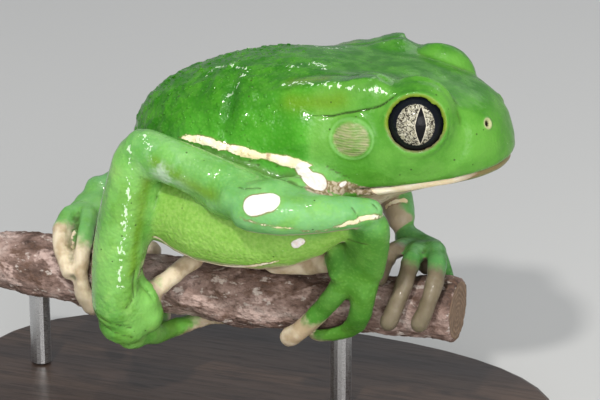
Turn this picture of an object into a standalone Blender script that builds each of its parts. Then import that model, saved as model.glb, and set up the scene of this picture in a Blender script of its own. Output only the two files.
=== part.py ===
"""A waxy monkey tree frog, life-size, gripping a short cut branch on a plain display stand.

Sizes are in millimetres until a mesh is made. +X runs along the branch towards the snout, +Y is the
frog's left and +Z is up. The origin is the middle of the stand's underside.
The frog is shaped in a straight space, where it is symmetric about y = 0, and its head is then turned.
"""

import math

import bmesh
import bpy
from mathutils import Vector

MM = 0.001
GAP = 0.3  # clear space kept between touching pieces
SURE = 0.03  # added to the gap where a faceted copy is swollen
WELD = 0.02  # corners nearer to each other than this become one

BASE_LENGTH, BASE_WIDTH, BASE_HEIGHT = 88.0, 54.0, 4.0
ROD_RADIUS = 1.5
ROD_PLACES = (-33.0, 13.5)
BRANCH_RADIUS = 4.3

EYE_RADIUS = 4.1
EYE_CENTRE = (25.8, 8.9, 50.3)
LID_CENTRE = (25.7, 8.0, 50.8)
LID_RADII = (5.2, 3.9, 5.3)
RIM_OUT = 1.95  # how far the rim of the lids stands out from the eye's centre
RIM_RADIUS = 4.2
RIM_THICKNESS = 1.7
EYE_AXIS = (0.16, 1.0, 0.14)
NOSTRIL_CENTRE = (33.7, 4.5, 49.0)
NOSTRIL_RADIUS = 0.42
TYMPANUM_RADIUS = 2.75
TYMPANUM_CENTRE = (17.6, 12.2, 48.4)
NECK_X = 13.6
HEAD_YAW = math.radians(7.0)
YAW_START, YAW_END = 2.0, 16.0

# The body's cross-sections: place along x, top, height of the widest line, underside, half width.
BODY_STATIONS = (
    (-16.3, 43.5, 41.4, 39.4, 2.6),
    (-15.4, 46.0, 41.2, 37.2, 4.8),
    (-13.9, 48.3, 40.9, 34.4, 6.9),
    (-11.9, 50.0, 40.6, 31.0, 8.8),
    (-9.2, 51.6, 40.2, 27.6, 10.5),
    (-5.0, 53.3, 40.0, 25.4, 12.1),
    (0.0, 54.8, 40.5, 24.6, 13.2),
    (5.0, 55.6, 41.5, 24.8, 13.5),
    (10.0, 55.8, 43.0, 27.0, 13.0),
    (14.0, 55.7, 45.0, 30.6, 12.6),
    (18.0, 55.5, 46.0, 34.7, 12.6),
    (22.0, 55.3, 46.0, 37.5, 12.5),
    (26.0, 54.6, 46.0, 39.1, 11.8),
    (30.0, 53.3, 45.6, 40.1, 10.0),
    (32.8, 52.0, 45.3, 40.9, 8.2),
    (34.7, 50.5, 45.1, 41.7, 6.4),
    (35.8, 48.7, 44.9, 42.4, 4.9),
    (36.6, 46.6, 44.7, 43.3, 2.6),
)
BODY_SEGMENTS = 30
TORSO_RING_STEP, HEAD_RING_STEP = 2.1, 1.4
HEAD_RINGS_FROM = 12.0

# Height of the mouth's line along x.
MOUTH_LINE = ((8.0, 40.4), (18.0, 40.8), (24.0, 41.3), (30.0, 42.0), (34.5, 42.9), (38.5, 44.1), (44.0, 45.8))

GREEN = (0.13, 0.42, 0.03, 1.0)
PALE = (0.75, 0.62, 0.45, 1.0)
LEAF_GREEN = (0.25, 0.48, 0.06, 1.0)


def clear_scene():
    for item in list(bpy.data.objects):
        bpy.data.objects.remove(item, do_unlink=True)


def material(name, colour, roughness, metallic=0.0):
    made = bpy.data.materials.new(name)
    made.use_nodes = True
    shader = made.node_tree.nodes["Principled BSDF"]
    shader.inputs["Base Color"].default_value = colour
    shader.inputs["Roughness"].default_value = roughness
    shader.inputs["Metallic"].default_value = metallic
    return made


def smooth_step(value):
    t = min(max(value, 0.0), 1.0)
    return t * t * (3.0 - 2.0 * t)


def curve_through(rows, share):
    """The row at a share, 0 to 1, of a Catmull-Rom curve through rows of numbers."""
    rows = [tuple(r) for r in rows]
    spans = len(rows) - 1
    place = min(max(share, 0.0), 1.0) * spans
    i = min(int(place), spans - 1)
    t = place - i
    before, here, there = rows[max(i - 1, 0)], rows[i], rows[i + 1]
    after = rows[min(i + 2, spans)]
    return [
        0.5 * (2 * b + (c - a) * t + (2 * a - 5 * b + 4 * c - d) * t * t + (3 * b - a - 3 * c + d) * t ** 3)
        for a, b, c, d in zip(before, here, there, after)
    ]


def row_at(rows, x):
    """The row of a table whose first column is x, read smoothly at one x."""
    last = len(rows) - 1
    i = max(j for j in range(last) if j == 0 or rows[j][0] <= x)
    along = (x - rows[i][0]) / (rows[i + 1][0] - rows[i][0])
    return [x] + curve_through(rows, (i + along) / last)[1:]


def turned(point):
    """A point of the straight frog with the head's turn to its left put in."""
    x, y, z = point
    yaw = HEAD_YAW * smooth_step((x - YAW_START) / (YAW_END - YAW_START))
    middle = 0.5 * (YAW_START + YAW_END)
    aside = math.tan(HEAD_YAW) * max(x - middle, 0.0)
    return Vector((x - y * math.sin(yaw), y * math.cos(yaw) + aside, z))


def mesh_object(name, points, faces, finish):
    mesh = bpy.data.meshes.new(name)
    mesh.from_pydata([Vector(p) * MM for p in points], [], faces)
    mesh.validate()
    shape = bmesh.new()
    shape.from_mesh(mesh)
    bmesh.ops.triangulate(shape, faces=shape.faces)
    bmesh.ops.recalc_face_normals(shape, faces=shape.faces)
    shape.to_mesh(mesh)
    shape.free()
    mesh.shade_smooth()
    made = bpy.data.objects.new(name, mesh)
    bpy.context.scene.collection.objects.link(made)
    if finish:
        mesh.materials.append(finish)
    return made


def lofted(name, rings, start, end, finish=None):
    """A closed skin over rings of points, with a point at each end."""
    points = [p for ring in rings for p in ring] + [start, end]
    count = len(rings[0])
    faces = []
    for i in range(len(rings) - 1):
        for j in range(count):
            k = (j + 1) % count
            faces.append((i * count + j, i * count + k, (i + 1) * count + k, (i + 1) * count + j))
    first, last = len(points) - 2, len(points) - 1
    base = (len(rings) - 1) * count
    faces += [(first, (j + 1) % count, j) for j in range(count)]
    faces += [(last, base + j, base + (j + 1) % count) for j in range(count)]
    return mesh_object(name, points, faces, finish)


def limb(name, stations, sides=12, rings=9, finish=None, flat=(0, 0, 1)):
    """A round-ended tube through (x, y, z, half width, half height) stations.

    The half height is measured along flat, as far as the tube's direction allows. With no flat the
    rings turn as little as they can from one to the next.
    """
    full = [tuple(s) if len(s) == 5 else tuple(s) + (s[3],) for s in stations]
    made = []
    upward = Vector((0.3, 0.2, 1.0))
    for i in range(rings):
        row = curve_through(full, i / (rings - 1))
        step = Vector(curve_through(full, (i + 0.5) / (rings - 1))[:3]) - Vector(
            curve_through(full, (i - 0.5) / (rings - 1))[:3]
        )
        along = step.normalized()
        across = along.cross(Vector(flat) if flat else upward).normalized()
        upward = across.cross(along)
        made.append((Vector(row[:3]), along, across, upward, row[3], row[4]))

    def ring_of(place, across, upward, wide, high):
        return [
            place + across * wide * math.cos(turn) + upward * high * math.sin(turn)
            for turn in (2 * math.pi * j / sides for j in range(sides))
        ]

    def cap(station, way):
        """Rings that round an end off, from the tube outwards."""
        place, along, across, upward, wide, high = station
        reach = min(wide, high)
        return [
            ring_of(
                place + along * way * reach * math.sin(bend),
                across,
                upward,
                wide * math.cos(bend),
                high * math.cos(bend),
            )
            for bend in (math.radians(35), math.radians(65))
        ]

    rings_made = cap(made[0], -1)[::-1]
    rings_made += [ring_of(p, s, u, w, h) for p, _, s, u, w, h in made]
    rings_made += cap(made[-1], 1)
    start = made[0][0] - made[0][1] * min(made[0][4:])
    end = made[-1][0] + made[-1][1] * min(made[-1][4:])
    return lofted(name, rings_made, start, end, finish)


def ball(name, centre, radii, around=24, up=14, finish=None):
    cx, cy, cz = centre
    rx, ry, rz = radii
    rings = []
    for i in range(1, up):
        tilt = -math.pi / 2 + math.pi * i / up
        rings.append([
            Vector((
                cx + rx * math.cos(tilt) * math.cos(2 * math.pi * j / around),
                cy + ry * math.cos(tilt) * math.sin(2 * math.pi * j / around),
                cz + rz * math.sin(tilt),
            ))
            for j in range(around)
        ])
    return lofted(name, rings, Vector((cx, cy, cz - rz)), Vector((cx, cy, cz + rz)), finish)


def ring(name, centre, axis, radius, thickness, around=24, sides=8):
    """A round ring about an axis through its centre."""
    along = Vector(axis).normalized()
    across = along.cross(Vector((0, 0, 1))).normalized()
    upward = across.cross(along)
    points, faces = [], []
    for i in range(around):
        turn = 2 * math.pi * i / around
        spoke = across * math.cos(turn) + upward * math.sin(turn)
        for j in range(sides):
            roll = 2 * math.pi * j / sides
            reach = radius + thickness / 2 * math.cos(roll)
            points.append(Vector(centre) + spoke * reach + along * thickness / 2 * math.sin(roll))
            k, n = (i + 1) % around, (j + 1) % sides
            faces.append((i * sides + j, k * sides + j, k * sides + n, i * sides + n))
    return mesh_object(name, points, faces, None)


def slab(name, rows, half_depth, thickness):
    """A sheet that follows (x, z) points, runs along y and is this thick, for parting a form."""
    above = [(x, z + thickness / 2) for x, z in rows]
    below = [(x, z - thickness / 2) for x, z in rows][::-1]
    outline = above + below
    count = len(outline)
    points = [Vector((x, y, z)) for y in (-half_depth, half_depth) for x, z in outline]
    faces = [(j, (j + 1) % count, count + (j + 1) % count, count + j) for j in range(count)]
    half = len(rows)
    for side in (0, count):
        for j in range(half - 1):
            faces.append((side + j, side + j + 1, side + count - 2 - j, side + count - 1 - j))
    return mesh_object(name, points, faces, None)


def boolean(target, other, operation, solver="EXACT"):
    step = target.modifiers.new("shape", "BOOLEAN")
    step.operation = operation
    step.object = other
    step.solver = solver
    apply_modifiers(target)


def apply_modifiers(target):
    graph = bpy.context.evaluated_depsgraph_get()
    made = bpy.data.meshes.new_from_object(target.evaluated_get(graph))
    target.modifiers.clear()
    target.data = made


def remove(item):
    bpy.data.objects.remove(item, do_unlink=True)


def swollen_copy(source, distance):
    """A copy of a closed shape with its surface moved outwards."""
    made = source.copy()
    made.data = source.data.copy()
    bpy.context.scene.collection.objects.link(made)
    shape = bmesh.new()
    shape.from_mesh(made.data)
    shape.normal_update()
    moved = [v.co + v.normal * v.calc_shell_factor() * distance * MM for v in shape.verts]
    for vertex, place in zip(shape.verts, moved):
        vertex.co = place
    shape.to_mesh(made.data)
    shape.free()
    return made


def keep_largest(target):
    """Drops every loose scrap but the largest closed surface.

    Tiny edges are closed up too, where that leaves the surface closed.
    """
    shape = bmesh.new()
    shape.from_mesh(target.data)
    shape.verts.ensure_lookup_table()
    groups, seen = [], set()
    for first in shape.verts:
        if first.index in seen:
            continue
        group, waiting = [], [first]
        seen.add(first.index)
        while waiting:
            vertex = waiting.pop()
            group.append(vertex)
            for edge in vertex.link_edges:
                other = edge.other_vert(vertex)
                if other.index not in seen:
                    seen.add(other.index)
                    waiting.append(other)
        groups.append(group)
    groups.sort(key=len)
    for group in groups[:-1]:
        bmesh.ops.delete(shape, geom=group, context="VERTS")
    shape.to_mesh(target.data)
    bmesh.ops.remove_doubles(shape, verts=shape.verts, dist=WELD * MM)
    if all(len(edge.link_faces) == 2 for edge in shape.edges):
        shape.to_mesh(target.data)
    shape.free()


def boxes_meet(one, other, margin):
    for axis in range(3):
        a = [v.co[axis] for v in one.data.vertices]
        b = [v.co[axis] for v in other.data.vertices]
        if min(a) > max(b) + margin * MM or min(b) > max(a) + margin * MM:
            return False
    return True


def cut_clear(target, neighbours):
    """Cuts a piece back so that it keeps the gap to each neighbour.

    The surfaces graze each other here, which the exact solver can leave pinched along an edge.
    """
    for neighbour in neighbours:
        if boxes_meet(target, neighbour, GAP):
            cutter = swollen_copy(neighbour, GAP + SURE)
            boolean(target, cutter, "DIFFERENCE", "MANIFOLD")
            remove(cutter)
    keep_largest(target)


def fused(name, pieces, finish):
    """One closed body from overlapping closed pieces."""
    whole = pieces[0]
    whole.name = name
    whole.data.materials.clear()
    whole.data.materials.append(finish)
    group = bpy.data.collections.new(name + "_pieces")
    bpy.context.scene.collection.children.link(group)
    for piece in pieces[1:]:
        bpy.context.scene.collection.objects.unlink(piece)
        group.objects.link(piece)
    step = whole.modifiers.new("join", "BOOLEAN")
    step.operation = "UNION"
    step.operand_type = "COLLECTION"
    step.collection = group
    apply_modifiers(whole)
    for piece in pieces[1:]:
        remove(piece)
    bpy.data.collections.remove(group)
    keep_largest(whole)
    return whole


# Swellings and hollows pressed into the straight frog's surface, on both sides:
# centre, reach along x, y and z, and how far the surface moves out.
BODY_TOUCHES = (
    ((16.5, 9.4, 54.0), (10.0, 3.8, 3.0), 2.4),  # poison gland, front half
    ((20.6, 8.8, 54.2), (5.8, 3.6, 3.0), 2.0),  # top of the gland, behind the eye
    ((10.0, 10.4, 53.6), (6.0, 3.6, 3.0), 1.0),  # poison gland, rear end
    ((31.0, 7.0, 51.6), (4.6, 2.4, 2.2), 0.6),  # edge from eye to nostril
    ((31.5, 9.4, 47.4), (3.6, 3.2, 2.6), -0.5),  # hollow below that edge
    ((33.9, 4.4, 49.0), (1.9, 2.2, 1.7), 0.5),  # swelling at each nostril
    ((12.0, 13.0, 48.0), (3.5, 4.5, 4.5), 0.6),  # shoulder
    ((16.0, 0.0, 56.0), (10.0, 4.0, 3.0), -0.5),  # low line along the crown
)


def touch_surface(place, outward):
    moved = place.copy()
    for centre, reach, push in BODY_TOUCHES:
        for side in (-1, 1):
            if side == 1 and centre[1] == 0.0:
                continue
            offset = Vector((
                (place.x - centre[0]) / reach[0],
                (place.y - side * centre[1]) / reach[1],
                (place.z - centre[2]) / reach[2],
            ))
            inside = max(0.0, 1.0 - offset.length_squared)
            moved += outward * push * inside * inside
    return moved


def body_ring(x):
    """The outline of the straight frog's body and head at one place along it."""
    _, top, middle, under, half = row_at(BODY_STATIONS, x)
    ring = []
    for j in range(BODY_SEGMENTS):
        turn = 2 * math.pi * j / BODY_SEGMENTS
        across, rise = math.cos(turn), math.sin(turn)
        power = 2.5 if rise > 0 else 2.15
        y = half * math.copysign(abs(across) ** (2 / power), across)
        height = top - middle if rise > 0 else middle - under
        z = middle + height * math.copysign(abs(rise) ** (2 / power), rise)
        outward = Vector((0.0, across * height, rise * half)).normalized()
        ring.append(touch_surface(Vector((x, y, z)), outward))
    return ring


def whole_body(finish):
    places = []
    x = BODY_STATIONS[0][0]
    while x < BODY_STATIONS[-1][0] - 0.4:
        places.append(x)
        x += TORSO_RING_STEP if x < HEAD_RINGS_FROM else HEAD_RING_STEP
    places += [36.1, BODY_STATIONS[-1][0]]
    rings = [[turned(p) for p in body_ring(x)] for x in sorted(places)]
    rump, snout = turned((-16.7, 0, 41.4)), turned((37.0, 0, 45.1))
    return lofted("body", rings, rump, snout, finish)


def part_body(whole):
    """Parts the one body form into torso, head and lower jaw with thin cuts."""
    def cut_copy(name, cutters):
        made = whole.copy()
        made.data = whole.data.copy()
        made.name = name
        bpy.context.scene.collection.objects.link(made)
        for cutter in cutters:
            boolean(made, cutter, "DIFFERENCE")
        keep_largest(made)
        return made

    far = 60.0
    neck = [turned((NECK_X + way * GAP / 2, 0, 0)).x for way in (-1, 1)]

    def block(name, low, high):
        points = [Vector((x, y, z)) for x in (low[0], high[0]) for y in (low[1], high[1]) for z in (low[2], high[2])]
        faces = [(0, 1, 3, 2), (4, 6, 7, 5), (0, 4, 5, 1), (2, 3, 7, 6), (0, 2, 6, 4), (1, 5, 7, 3)]
        return mesh_object(name, points, faces, None)

    mouth = [(x, z) for x, z in MOUTH_LINE]
    over = slab("over", [(x, z + far / 2 - GAP / 2) for x, z in mouth], far, far)
    below = slab("below", [(x, z - far / 2 + GAP / 2) for x, z in mouth], far, far)
    ahead = block("ahead", (neck[0], -far, 0), (neck[0] + far, far, 2 * far))
    behind = block("behind", (neck[1] - 2 * far, -far, 0), (neck[1], far, 2 * far))
    torso = cut_copy("torso", [ahead])
    head = cut_copy("head", [behind, below])
    jaw = cut_copy("lower_jaw", [behind, over])
    for item in (whole, over, below, ahead, behind):
        remove(item)
    return torso, head, jaw


def digit(points, root, middle, tip, sides=7, rings=7):
    """A finger or toe along points round the branch: it thins from its root and ends in a small pad."""
    stations = []
    for i in range(rings):
        share = i / (rings - 1)
        x, turn, off = curve_through(points, share)
        radius = root + (middle - root) * min(share * 1.6, 1.0)
        radius += (tip - radius) * smooth_step((share - 0.75) / 0.2)
        stations.append(tuple(branch_point(x, math.radians(turn), off)) + (radius,))
    return limb("digit", stations, sides, rings, flat=None)


def paw(name, palm, digits, finish, extra=()):
    pieces = [limb("palm", palm, 12, 6, None, (0, -1, 0.4))]
    pieces += [digit(*d) for d in digits]
    pieces += [ball("pad", centre, radii, 12, 8) for centre, radii in extra]
    return fused(name, pieces, finish)


def branch_axis(x):
    """Middle of the branch at one x: it bows a little and rises towards the front."""
    return Vector((x, 0.5 * math.sin(x * 0.09), 19.35 + 0.028 * x + 0.0009 * x * x))


def branch_reach(x, angle):
    """Radius of the branch at one x, where angle is 0 on top and a quarter turn on the right."""
    swell = 0.28 * math.sin(0.21 * x + 1.0)
    return BRANCH_RADIUS + swell + 0.14 * math.sin(3 * angle + 0.35 * x) + 0.10 * math.sin(5 * angle - 0.8 * x)


def branch_point(x, angle, off=0.0):
    reach = branch_reach(x, angle) + off
    return branch_axis(x) + Vector((0, -reach * math.sin(angle), reach * math.cos(angle)))


def branch(finish):
    left, right, count, sides = -39.5, 30.6, 27, 16
    rings = []
    for i in range(count + 1):
        x = left + (right - left) * i / count
        rings.append([branch_point(x, 2 * math.pi * j / sides) for j in range(sides)])
    return lofted("perch_branch", rings, branch_axis(left), branch_axis(right), finish)


def stand(finish, steel):
    """A flat oval base with a rounded top edge, and two short rods up to the branch."""
    sides = 44
    levels = ((0.0, 0.5), (0.5, 0.0), (BASE_HEIGHT - 0.8, 0.0), (BASE_HEIGHT - 0.25, 0.25), (BASE_HEIGHT, 0.8))
    rings = []
    for z, inset in levels:
        ring = []
        for j in range(sides):
            turn = 2 * math.pi * j / sides
            across, along = math.cos(turn), math.sin(turn)
            x = (BASE_LENGTH / 2 - inset) * math.copysign(abs(across) ** 0.8, across)
            y = (BASE_WIDTH / 2 - inset) * math.copysign(abs(along) ** 0.8, along)
            ring.append(Vector((x, y, z)))
        rings.append(ring)
    lofted("stand_base", rings, Vector((0, 0, 0)), Vector((0, 0, BASE_HEIGHT)), finish)
    rods = []
    for place, word in zip(ROD_PLACES, ("rear", "front")):
        foot = branch_axis(place)
        tube = [
            [foot + Vector((ROD_RADIUS * math.cos(t), ROD_RADIUS * math.sin(t), z - foot.z)) for t in
             (2 * math.pi * j / 16 for j in range(16))]
            for z in (BASE_HEIGHT + GAP, foot.z)
        ]
        rods.append(lofted("stand_rod_" + word, tube, Vector((foot.x, foot.y, BASE_HEIGHT + GAP)), foot, steel))
    return rods


# Right limbs follow the photo, and left limbs are seen there only in part.
RIGHT_LEG = {
    "thigh": ((-11.5, -7.0, 35.4, 4.2, 5.2), (-6.5, -10.5, 34.9, 4.6, 5.6), (-1.0, -12.3, 34.4, 4.6, 5.7),
              (6.0, -13.0, 34.2, 4.3, 5.2), (12.0, -13.2, 35.0, 3.7, 4.3), (16.4, -12.8, 37.0, 3.0, 3.2)),
    "shank": ((15.4, -14.4, 38.0, 2.6, 2.8), (9.0, -15.7, 39.6, 3.0, 3.1), (3.0, -16.1, 41.4, 3.1, 3.2),
              (-4.0, -15.5, 43.3, 3.0, 3.0), (-9.6, -14.4, 44.2, 3.1, 3.1)),
    "tarsus": ((-10.8, -14.2, 42.8, 3.2, 3.4), (-12.0, -14.2, 37.5, 3.5, 3.7), (-13.3, -14.1, 31.5, 3.7, 3.8),
               (-14.2, -13.8, 25.5, 3.7, 3.6), (-14.5, -13.2, 20.8, 3.6, 3.6)),
}
LEFT_LEG = {
    "thigh": ((-11.5, 7.0, 35.4, 4.2, 5.2), (-6.5, 10.3, 34.6, 4.6, 5.6), (-1.0, 12.0, 34.0, 4.6, 5.7),
              (5.0, 13.0, 33.6, 4.3, 5.2), (11.0, 13.6, 33.6, 3.7, 4.3), (15.6, 13.8, 34.6, 3.0, 3.2)),
    "shank": ((15.0, 15.8, 36.8, 2.6, 2.8), (9.0, 16.8, 38.0, 3.0, 3.1), (3.0, 17.2, 38.9, 3.1, 3.1),
              (-3.0, 17.0, 39.5, 2.9, 3.0), (-8.4, 16.4, 39.6, 3.0, 3.0)),
    "tarsus": ((-10.2, 16.0, 38.2, 3.1, 3.3), (-16.4, 14.2, 34.4, 3.1, 3.3), (-22.0, 12.2, 30.6, 2.9, 3.0),
               (-26.2, 10.4, 27.9, 2.5, 2.6)),
}
RIGHT_ARM = {
    "upper_arm": ((15.4, -9.0, 40.4, 2.6, 3.0), (13.4, -14.2, 40.6, 2.5, 2.7), (10.4, -17.8, 41.2, 2.4, 2.5),
                  (8.2, -19.4, 41.0, 2.3, 2.4)),
    "forearm": ((7.6, -20.0, 39.7, 2.5, 2.6), (12.0, -19.8, 39.7, 2.8, 2.7), (17.4, -18.2, 39.9, 2.5, 2.4),
                (22.6, -15.0, 39.7, 1.8, 1.8)),
}
LEFT_ARM = {
    "upper_arm": ((15.0, 10.0, 41.0, 2.6, 3.0), (13.0, 15.8, 39.6, 2.5, 2.7), (10.8, 19.4, 37.2, 2.4, 2.5),
                  (10.0, 20.2, 34.8, 2.3, 2.4)),
    "forearm": ((10.4, 20.0, 33.4, 2.5, 2.6), (14.0, 17.6, 32.4, 2.6, 2.8), (17.0, 13.9, 30.9, 2.4, 2.6),
                (18.8, 10.8, 29.3, 1.9, 2.0)),
}


# A palm is one flat tube. Each digit is its points round the branch, with its radius at root, middle
# and tip. Such a point is its x, its turn (0 on top, 90 on the frog's right, 180 below) and how far it
# stands off the bark.
RIGHT_HAND = {
    "palm": ((22.4, -13.7, 37.6, 2.8, 2.0), (21.2, -11.0, 33.6, 3.1, 1.9), (19.6, -8.4, 29.4, 3.3, 1.8)),
    "pads": (),
    "digits": (
        (((17.4, 38, 8.1), (13.8, 34, 5.4), (9.4, 26, 2.4), (4.6, 24, 1.8)), 1.5, 1.15, 1.3),
        (((17.9, 46, 7.9), (16.2, 57, 6.1), (13.2, 77, 2.4), (10.2, 108, 1.9), (7.6, 130, 1.9)), 1.7, 1.3, 1.4),
        (((20.4, 48, 7.8), (19.6, 62, 5.4), (18.2, 88, 2.4), (16.6, 114, 1.9), (14.2, 130, 1.9),
          (11.4, 140, 1.9)), 1.8, 1.3, 1.4),
        (((20.2, 38, 7.0), (18.8, 26, 4.8), (17.4, -22, 2.3), (16.6, -64, 1.8), (16.2, -102, 1.8)),
         1.6, 1.2, 1.35),
    ),
}
LEFT_HAND = {
    "palm": ((20.2, 9.2, 27.2, 1.8, 1.6), (23.0, 7.1, 26.4, 2.3, 1.6), (25.2, 5.2, 26.3, 2.6, 1.4)),
    "pads": (),
    "digits": (
        (((21.4, -38, 4.8), (20.6, -18, 3.6), (20.2, 2, 2.6), (20.0, 28, 1.8)), 1.3, 1.05, 1.2),
        (((23.4, -32, 3.9), (23.8, -8, 3.1), (24.1, 32, 2.4), (23.4, 66, 1.8), (22.5, 90, 1.8)), 1.45, 1.1, 1.25),
        (((25.6, -30, 3.7), (27.2, -8, 3.1), (28.4, 34, 2.4), (27.9, 66, 1.8), (27.0, 88, 1.8)), 1.45, 1.1, 1.25),
        (((25.4, -42, 3.9), (26.6, -66, 2.5), (27.2, -102, 1.8), (26.8, -140, 1.8)), 1.5, 1.15, 1.3),
    ),
}
RIGHT_FOOT = {
    "palm": ((-14.2, -12.6, 17.8, 3.6, 3.0), (-14.2, -10.8, 16.6, 3.3, 2.4), (-13.8, -8.2, 15.6, 3.0, 1.8)),
    "pads": (((-11.1, -11.4, 19.2), (2.4, 2.4, 2.8)), ((-10.4, -12.2, 22.2), (1.9, 2.1, 2.6))),
    "digits": (
        (((-12.0, 84, 7.0), (-11.0, 74, 5.6), (-9.2, 60, 4.0), (-7.2, 27, 2.0)), 1.8, 1.2, 1.35),
        (((-12.4, 118, 4.4), (-11.2, 164, 2.3), (-7.6, 206, 1.8), (-1.4, 214, 1.8)), 1.5, 1.05, 1.2),
        (((-12.4, 122, 4.2), (-13.6, 166, 2.6), (-14.4, 210, 1.9), (-14.4, 254, 1.9)), 1.6, 1.2, 1.35),
        (((-13.2, 124, 4.2), (-16.0, 166, 2.6), (-17.2, 212, 1.9), (-17.4, 256, 1.9), (-17.2, 296, 1.9)),
         1.7, 1.2, 1.35),
        (((-14.2, 122, 4.2), (-17.8, 152, 2.6), (-19.8, 186, 1.9), (-20.2, 222, 1.9)), 1.6, 1.2, 1.35),
    ),
}
LEFT_FOOT = {
    "palm": ((-27.4, 8.8, 27.1, 2.3, 1.9), (-27.4, 6.4, 27.0, 2.7, 1.8), (-27.0, 4.0, 26.6, 2.9, 1.5)),
    "pads": (),
    "digits": (
        (((-26.4, -40, 4.4), (-24.6, -62, 2.8), (-24.2, -98, 1.9), (-24.4, -134, 1.9)), 1.5, 1.15, 1.3),
        (((-26.6, -26, 3.9), (-25.0, 0, 3.1), (-23.8, 42, 2.3), (-23.3, 82, 1.9), (-21.8, 112, 1.9)),
         1.6, 1.15, 1.3),
        (((-27.8, -26, 3.7), (-28.4, 2, 2.9), (-27.0, 40, 2.2), (-25.8, 56, 1.9), (-24.9, 68, 1.9)),
         1.6, 1.15, 1.25),
        (((-29.0, -38, 3.9), (-30.6, -66, 2.6), (-31.2, -102, 1.9), (-31.0, -140, 1.9)), 1.6, 1.2, 1.35),
        (((-27.8, -44, 4.0), (-27.8, -74, 2.8), (-27.8, -110, 1.9), (-27.6, -148, 1.9)), 1.5, 1.15, 1.3),
    ),
}


def mirrored(point, side):
    return (point[0], side * point[1], point[2])


def add_lids_and_nostrils(head):
    """Raises a mound with a rounded rim for the lids at each eye, and sinks the nostrils."""
    for side in (-1, 1):
        mound = ball("mound", turned(mirrored(LID_CENTRE, side)), LID_RADII, 18, 10)
        eye, out = Vector(mirrored(EYE_CENTRE, side)), Vector(mirrored(EYE_AXIS, side)).normalized()
        rim_place, eye_place = turned(eye + out * RIM_OUT), turned(eye)
        rim = ring("rim", rim_place, rim_place - eye_place, RIM_RADIUS, RIM_THICKNESS, 20, 6)
        pit = ball("pit", turned(mirrored(NOSTRIL_CENTRE, side)), (NOSTRIL_RADIUS * 1.3, 1.2, NOSTRIL_RADIUS), 8, 6)
        for piece, operation in ((mound, "UNION"), (rim, "UNION"), (pit, "DIFFERENCE")):
            boolean(head, piece, operation)
            remove(piece)


def sense_organs(eye_finish, drum_finish):
    """Eyeballs and ear drums, right then left."""
    made = []
    for side, word in ((-1, "right"), (1, "left")):
        centre = turned(mirrored(EYE_CENTRE, side))
        made.append(ball("eye_" + word, centre, (EYE_RADIUS,) * 3, 18, 11, eye_finish))
    for side, word in ((-1, "right"), (1, "left")):
        centre = turned(mirrored(TYMPANUM_CENTRE, side))
        radii = (TYMPANUM_RADIUS, 1.0, TYMPANUM_RADIUS)
        made.append(ball("tympanum_" + word, centre, radii, 16, 6, drum_finish))
    return made


def build():
    clear_scene()
    green = material("green_skin", GREEN, 0.35)
    pale = material("digit_skin", PALE, 0.45)
    flank = material("leg_skin", LEAF_GREEN, 0.38)
    eye = material("eye", (0.02, 0.02, 0.03, 1.0), 0.08)
    drum = material("ear_drum", (0.30, 0.38, 0.16, 1.0), 0.45)
    bark = material("bark", (0.28, 0.18, 0.15, 1.0), 0.85)
    wood = material("stand_finish", (0.05, 0.05, 0.055, 1.0), 0.4)
    steel = material("rod_steel", (0.55, 0.56, 0.58, 1.0), 0.3, 1.0)

    perch = branch(bark)
    for rod in stand(wood, steel):
        cut_clear(rod, [perch])

    organs = sense_organs(eye, drum)
    torso, head, jaw = part_body(whole_body(green))
    add_lids_and_nostrils(head)
    cut_clear(head, organs)
    flesh = [torso, head, jaw]
    cut_clear(torso, [perch])
    for side, leg, arm, hand, foot in (
        ("right", RIGHT_LEG, RIGHT_ARM, RIGHT_HAND, RIGHT_FOOT),
        ("left", LEFT_LEG, LEFT_ARM, LEFT_HAND, LEFT_FOOT),
    ):
        chain = [
            limb("thigh_" + side, leg["thigh"], 16, 9, flank),
            limb("shank_" + side, leg["shank"], 14, 8, green),
            limb("tarsus_" + side, leg["tarsus"], 14, 8, green, (0.3, 1, 0)),
            paw("foot_" + side, foot["palm"], foot["digits"], pale, foot["pads"]),
            limb("upper_arm_" + side, arm["upper_arm"], 12, 6, green),
            limb("forearm_" + side, arm["forearm"], 14, 7, green),
            paw("hand_" + side, hand["palm"], hand["digits"], pale),
        ]
        for piece in chain:
            cut_clear(piece, [perch] + flesh)
            flesh.append(piece)


build()
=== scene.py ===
import math

import bmesh
import bpy
import numpy as np
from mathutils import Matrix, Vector, kdtree, noise


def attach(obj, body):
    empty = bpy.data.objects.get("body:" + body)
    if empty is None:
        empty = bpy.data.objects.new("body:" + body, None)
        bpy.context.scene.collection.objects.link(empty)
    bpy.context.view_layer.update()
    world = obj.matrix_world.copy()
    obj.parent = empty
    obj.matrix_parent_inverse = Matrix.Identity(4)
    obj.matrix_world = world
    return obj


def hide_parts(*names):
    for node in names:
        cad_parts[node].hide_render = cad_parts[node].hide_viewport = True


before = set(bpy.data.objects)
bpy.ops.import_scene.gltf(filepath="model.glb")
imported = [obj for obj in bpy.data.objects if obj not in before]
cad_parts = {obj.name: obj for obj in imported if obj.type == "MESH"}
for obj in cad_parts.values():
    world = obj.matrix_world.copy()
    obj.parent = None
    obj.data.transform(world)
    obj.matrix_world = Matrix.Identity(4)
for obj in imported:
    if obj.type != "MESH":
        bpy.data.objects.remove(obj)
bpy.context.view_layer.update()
mm = 0.001

# Places are in millimetres: x towards the snout, y to the frog's left, z up.
# The head turns a little to its left, so markings are laid out on a straight animal and posed with it.
pose = {"yaw": math.radians(7.0), "yawStart": 2.0, "yawEnd": 16.0}
mouthLine = ((8.0, 40.4), (18.0, 40.8), (24.0, 41.3), (30.0, 42.0), (34.5, 42.9), (38.5, 44.1), (44.0, 45.8))


def smoothStep(value, low=0.0, high=1.0):
    t = np.clip((np.asarray(value, float) - low) / (high - low), 0.0, 1.0)
    return t * t * (3.0 - 2.0 * t)


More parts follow.
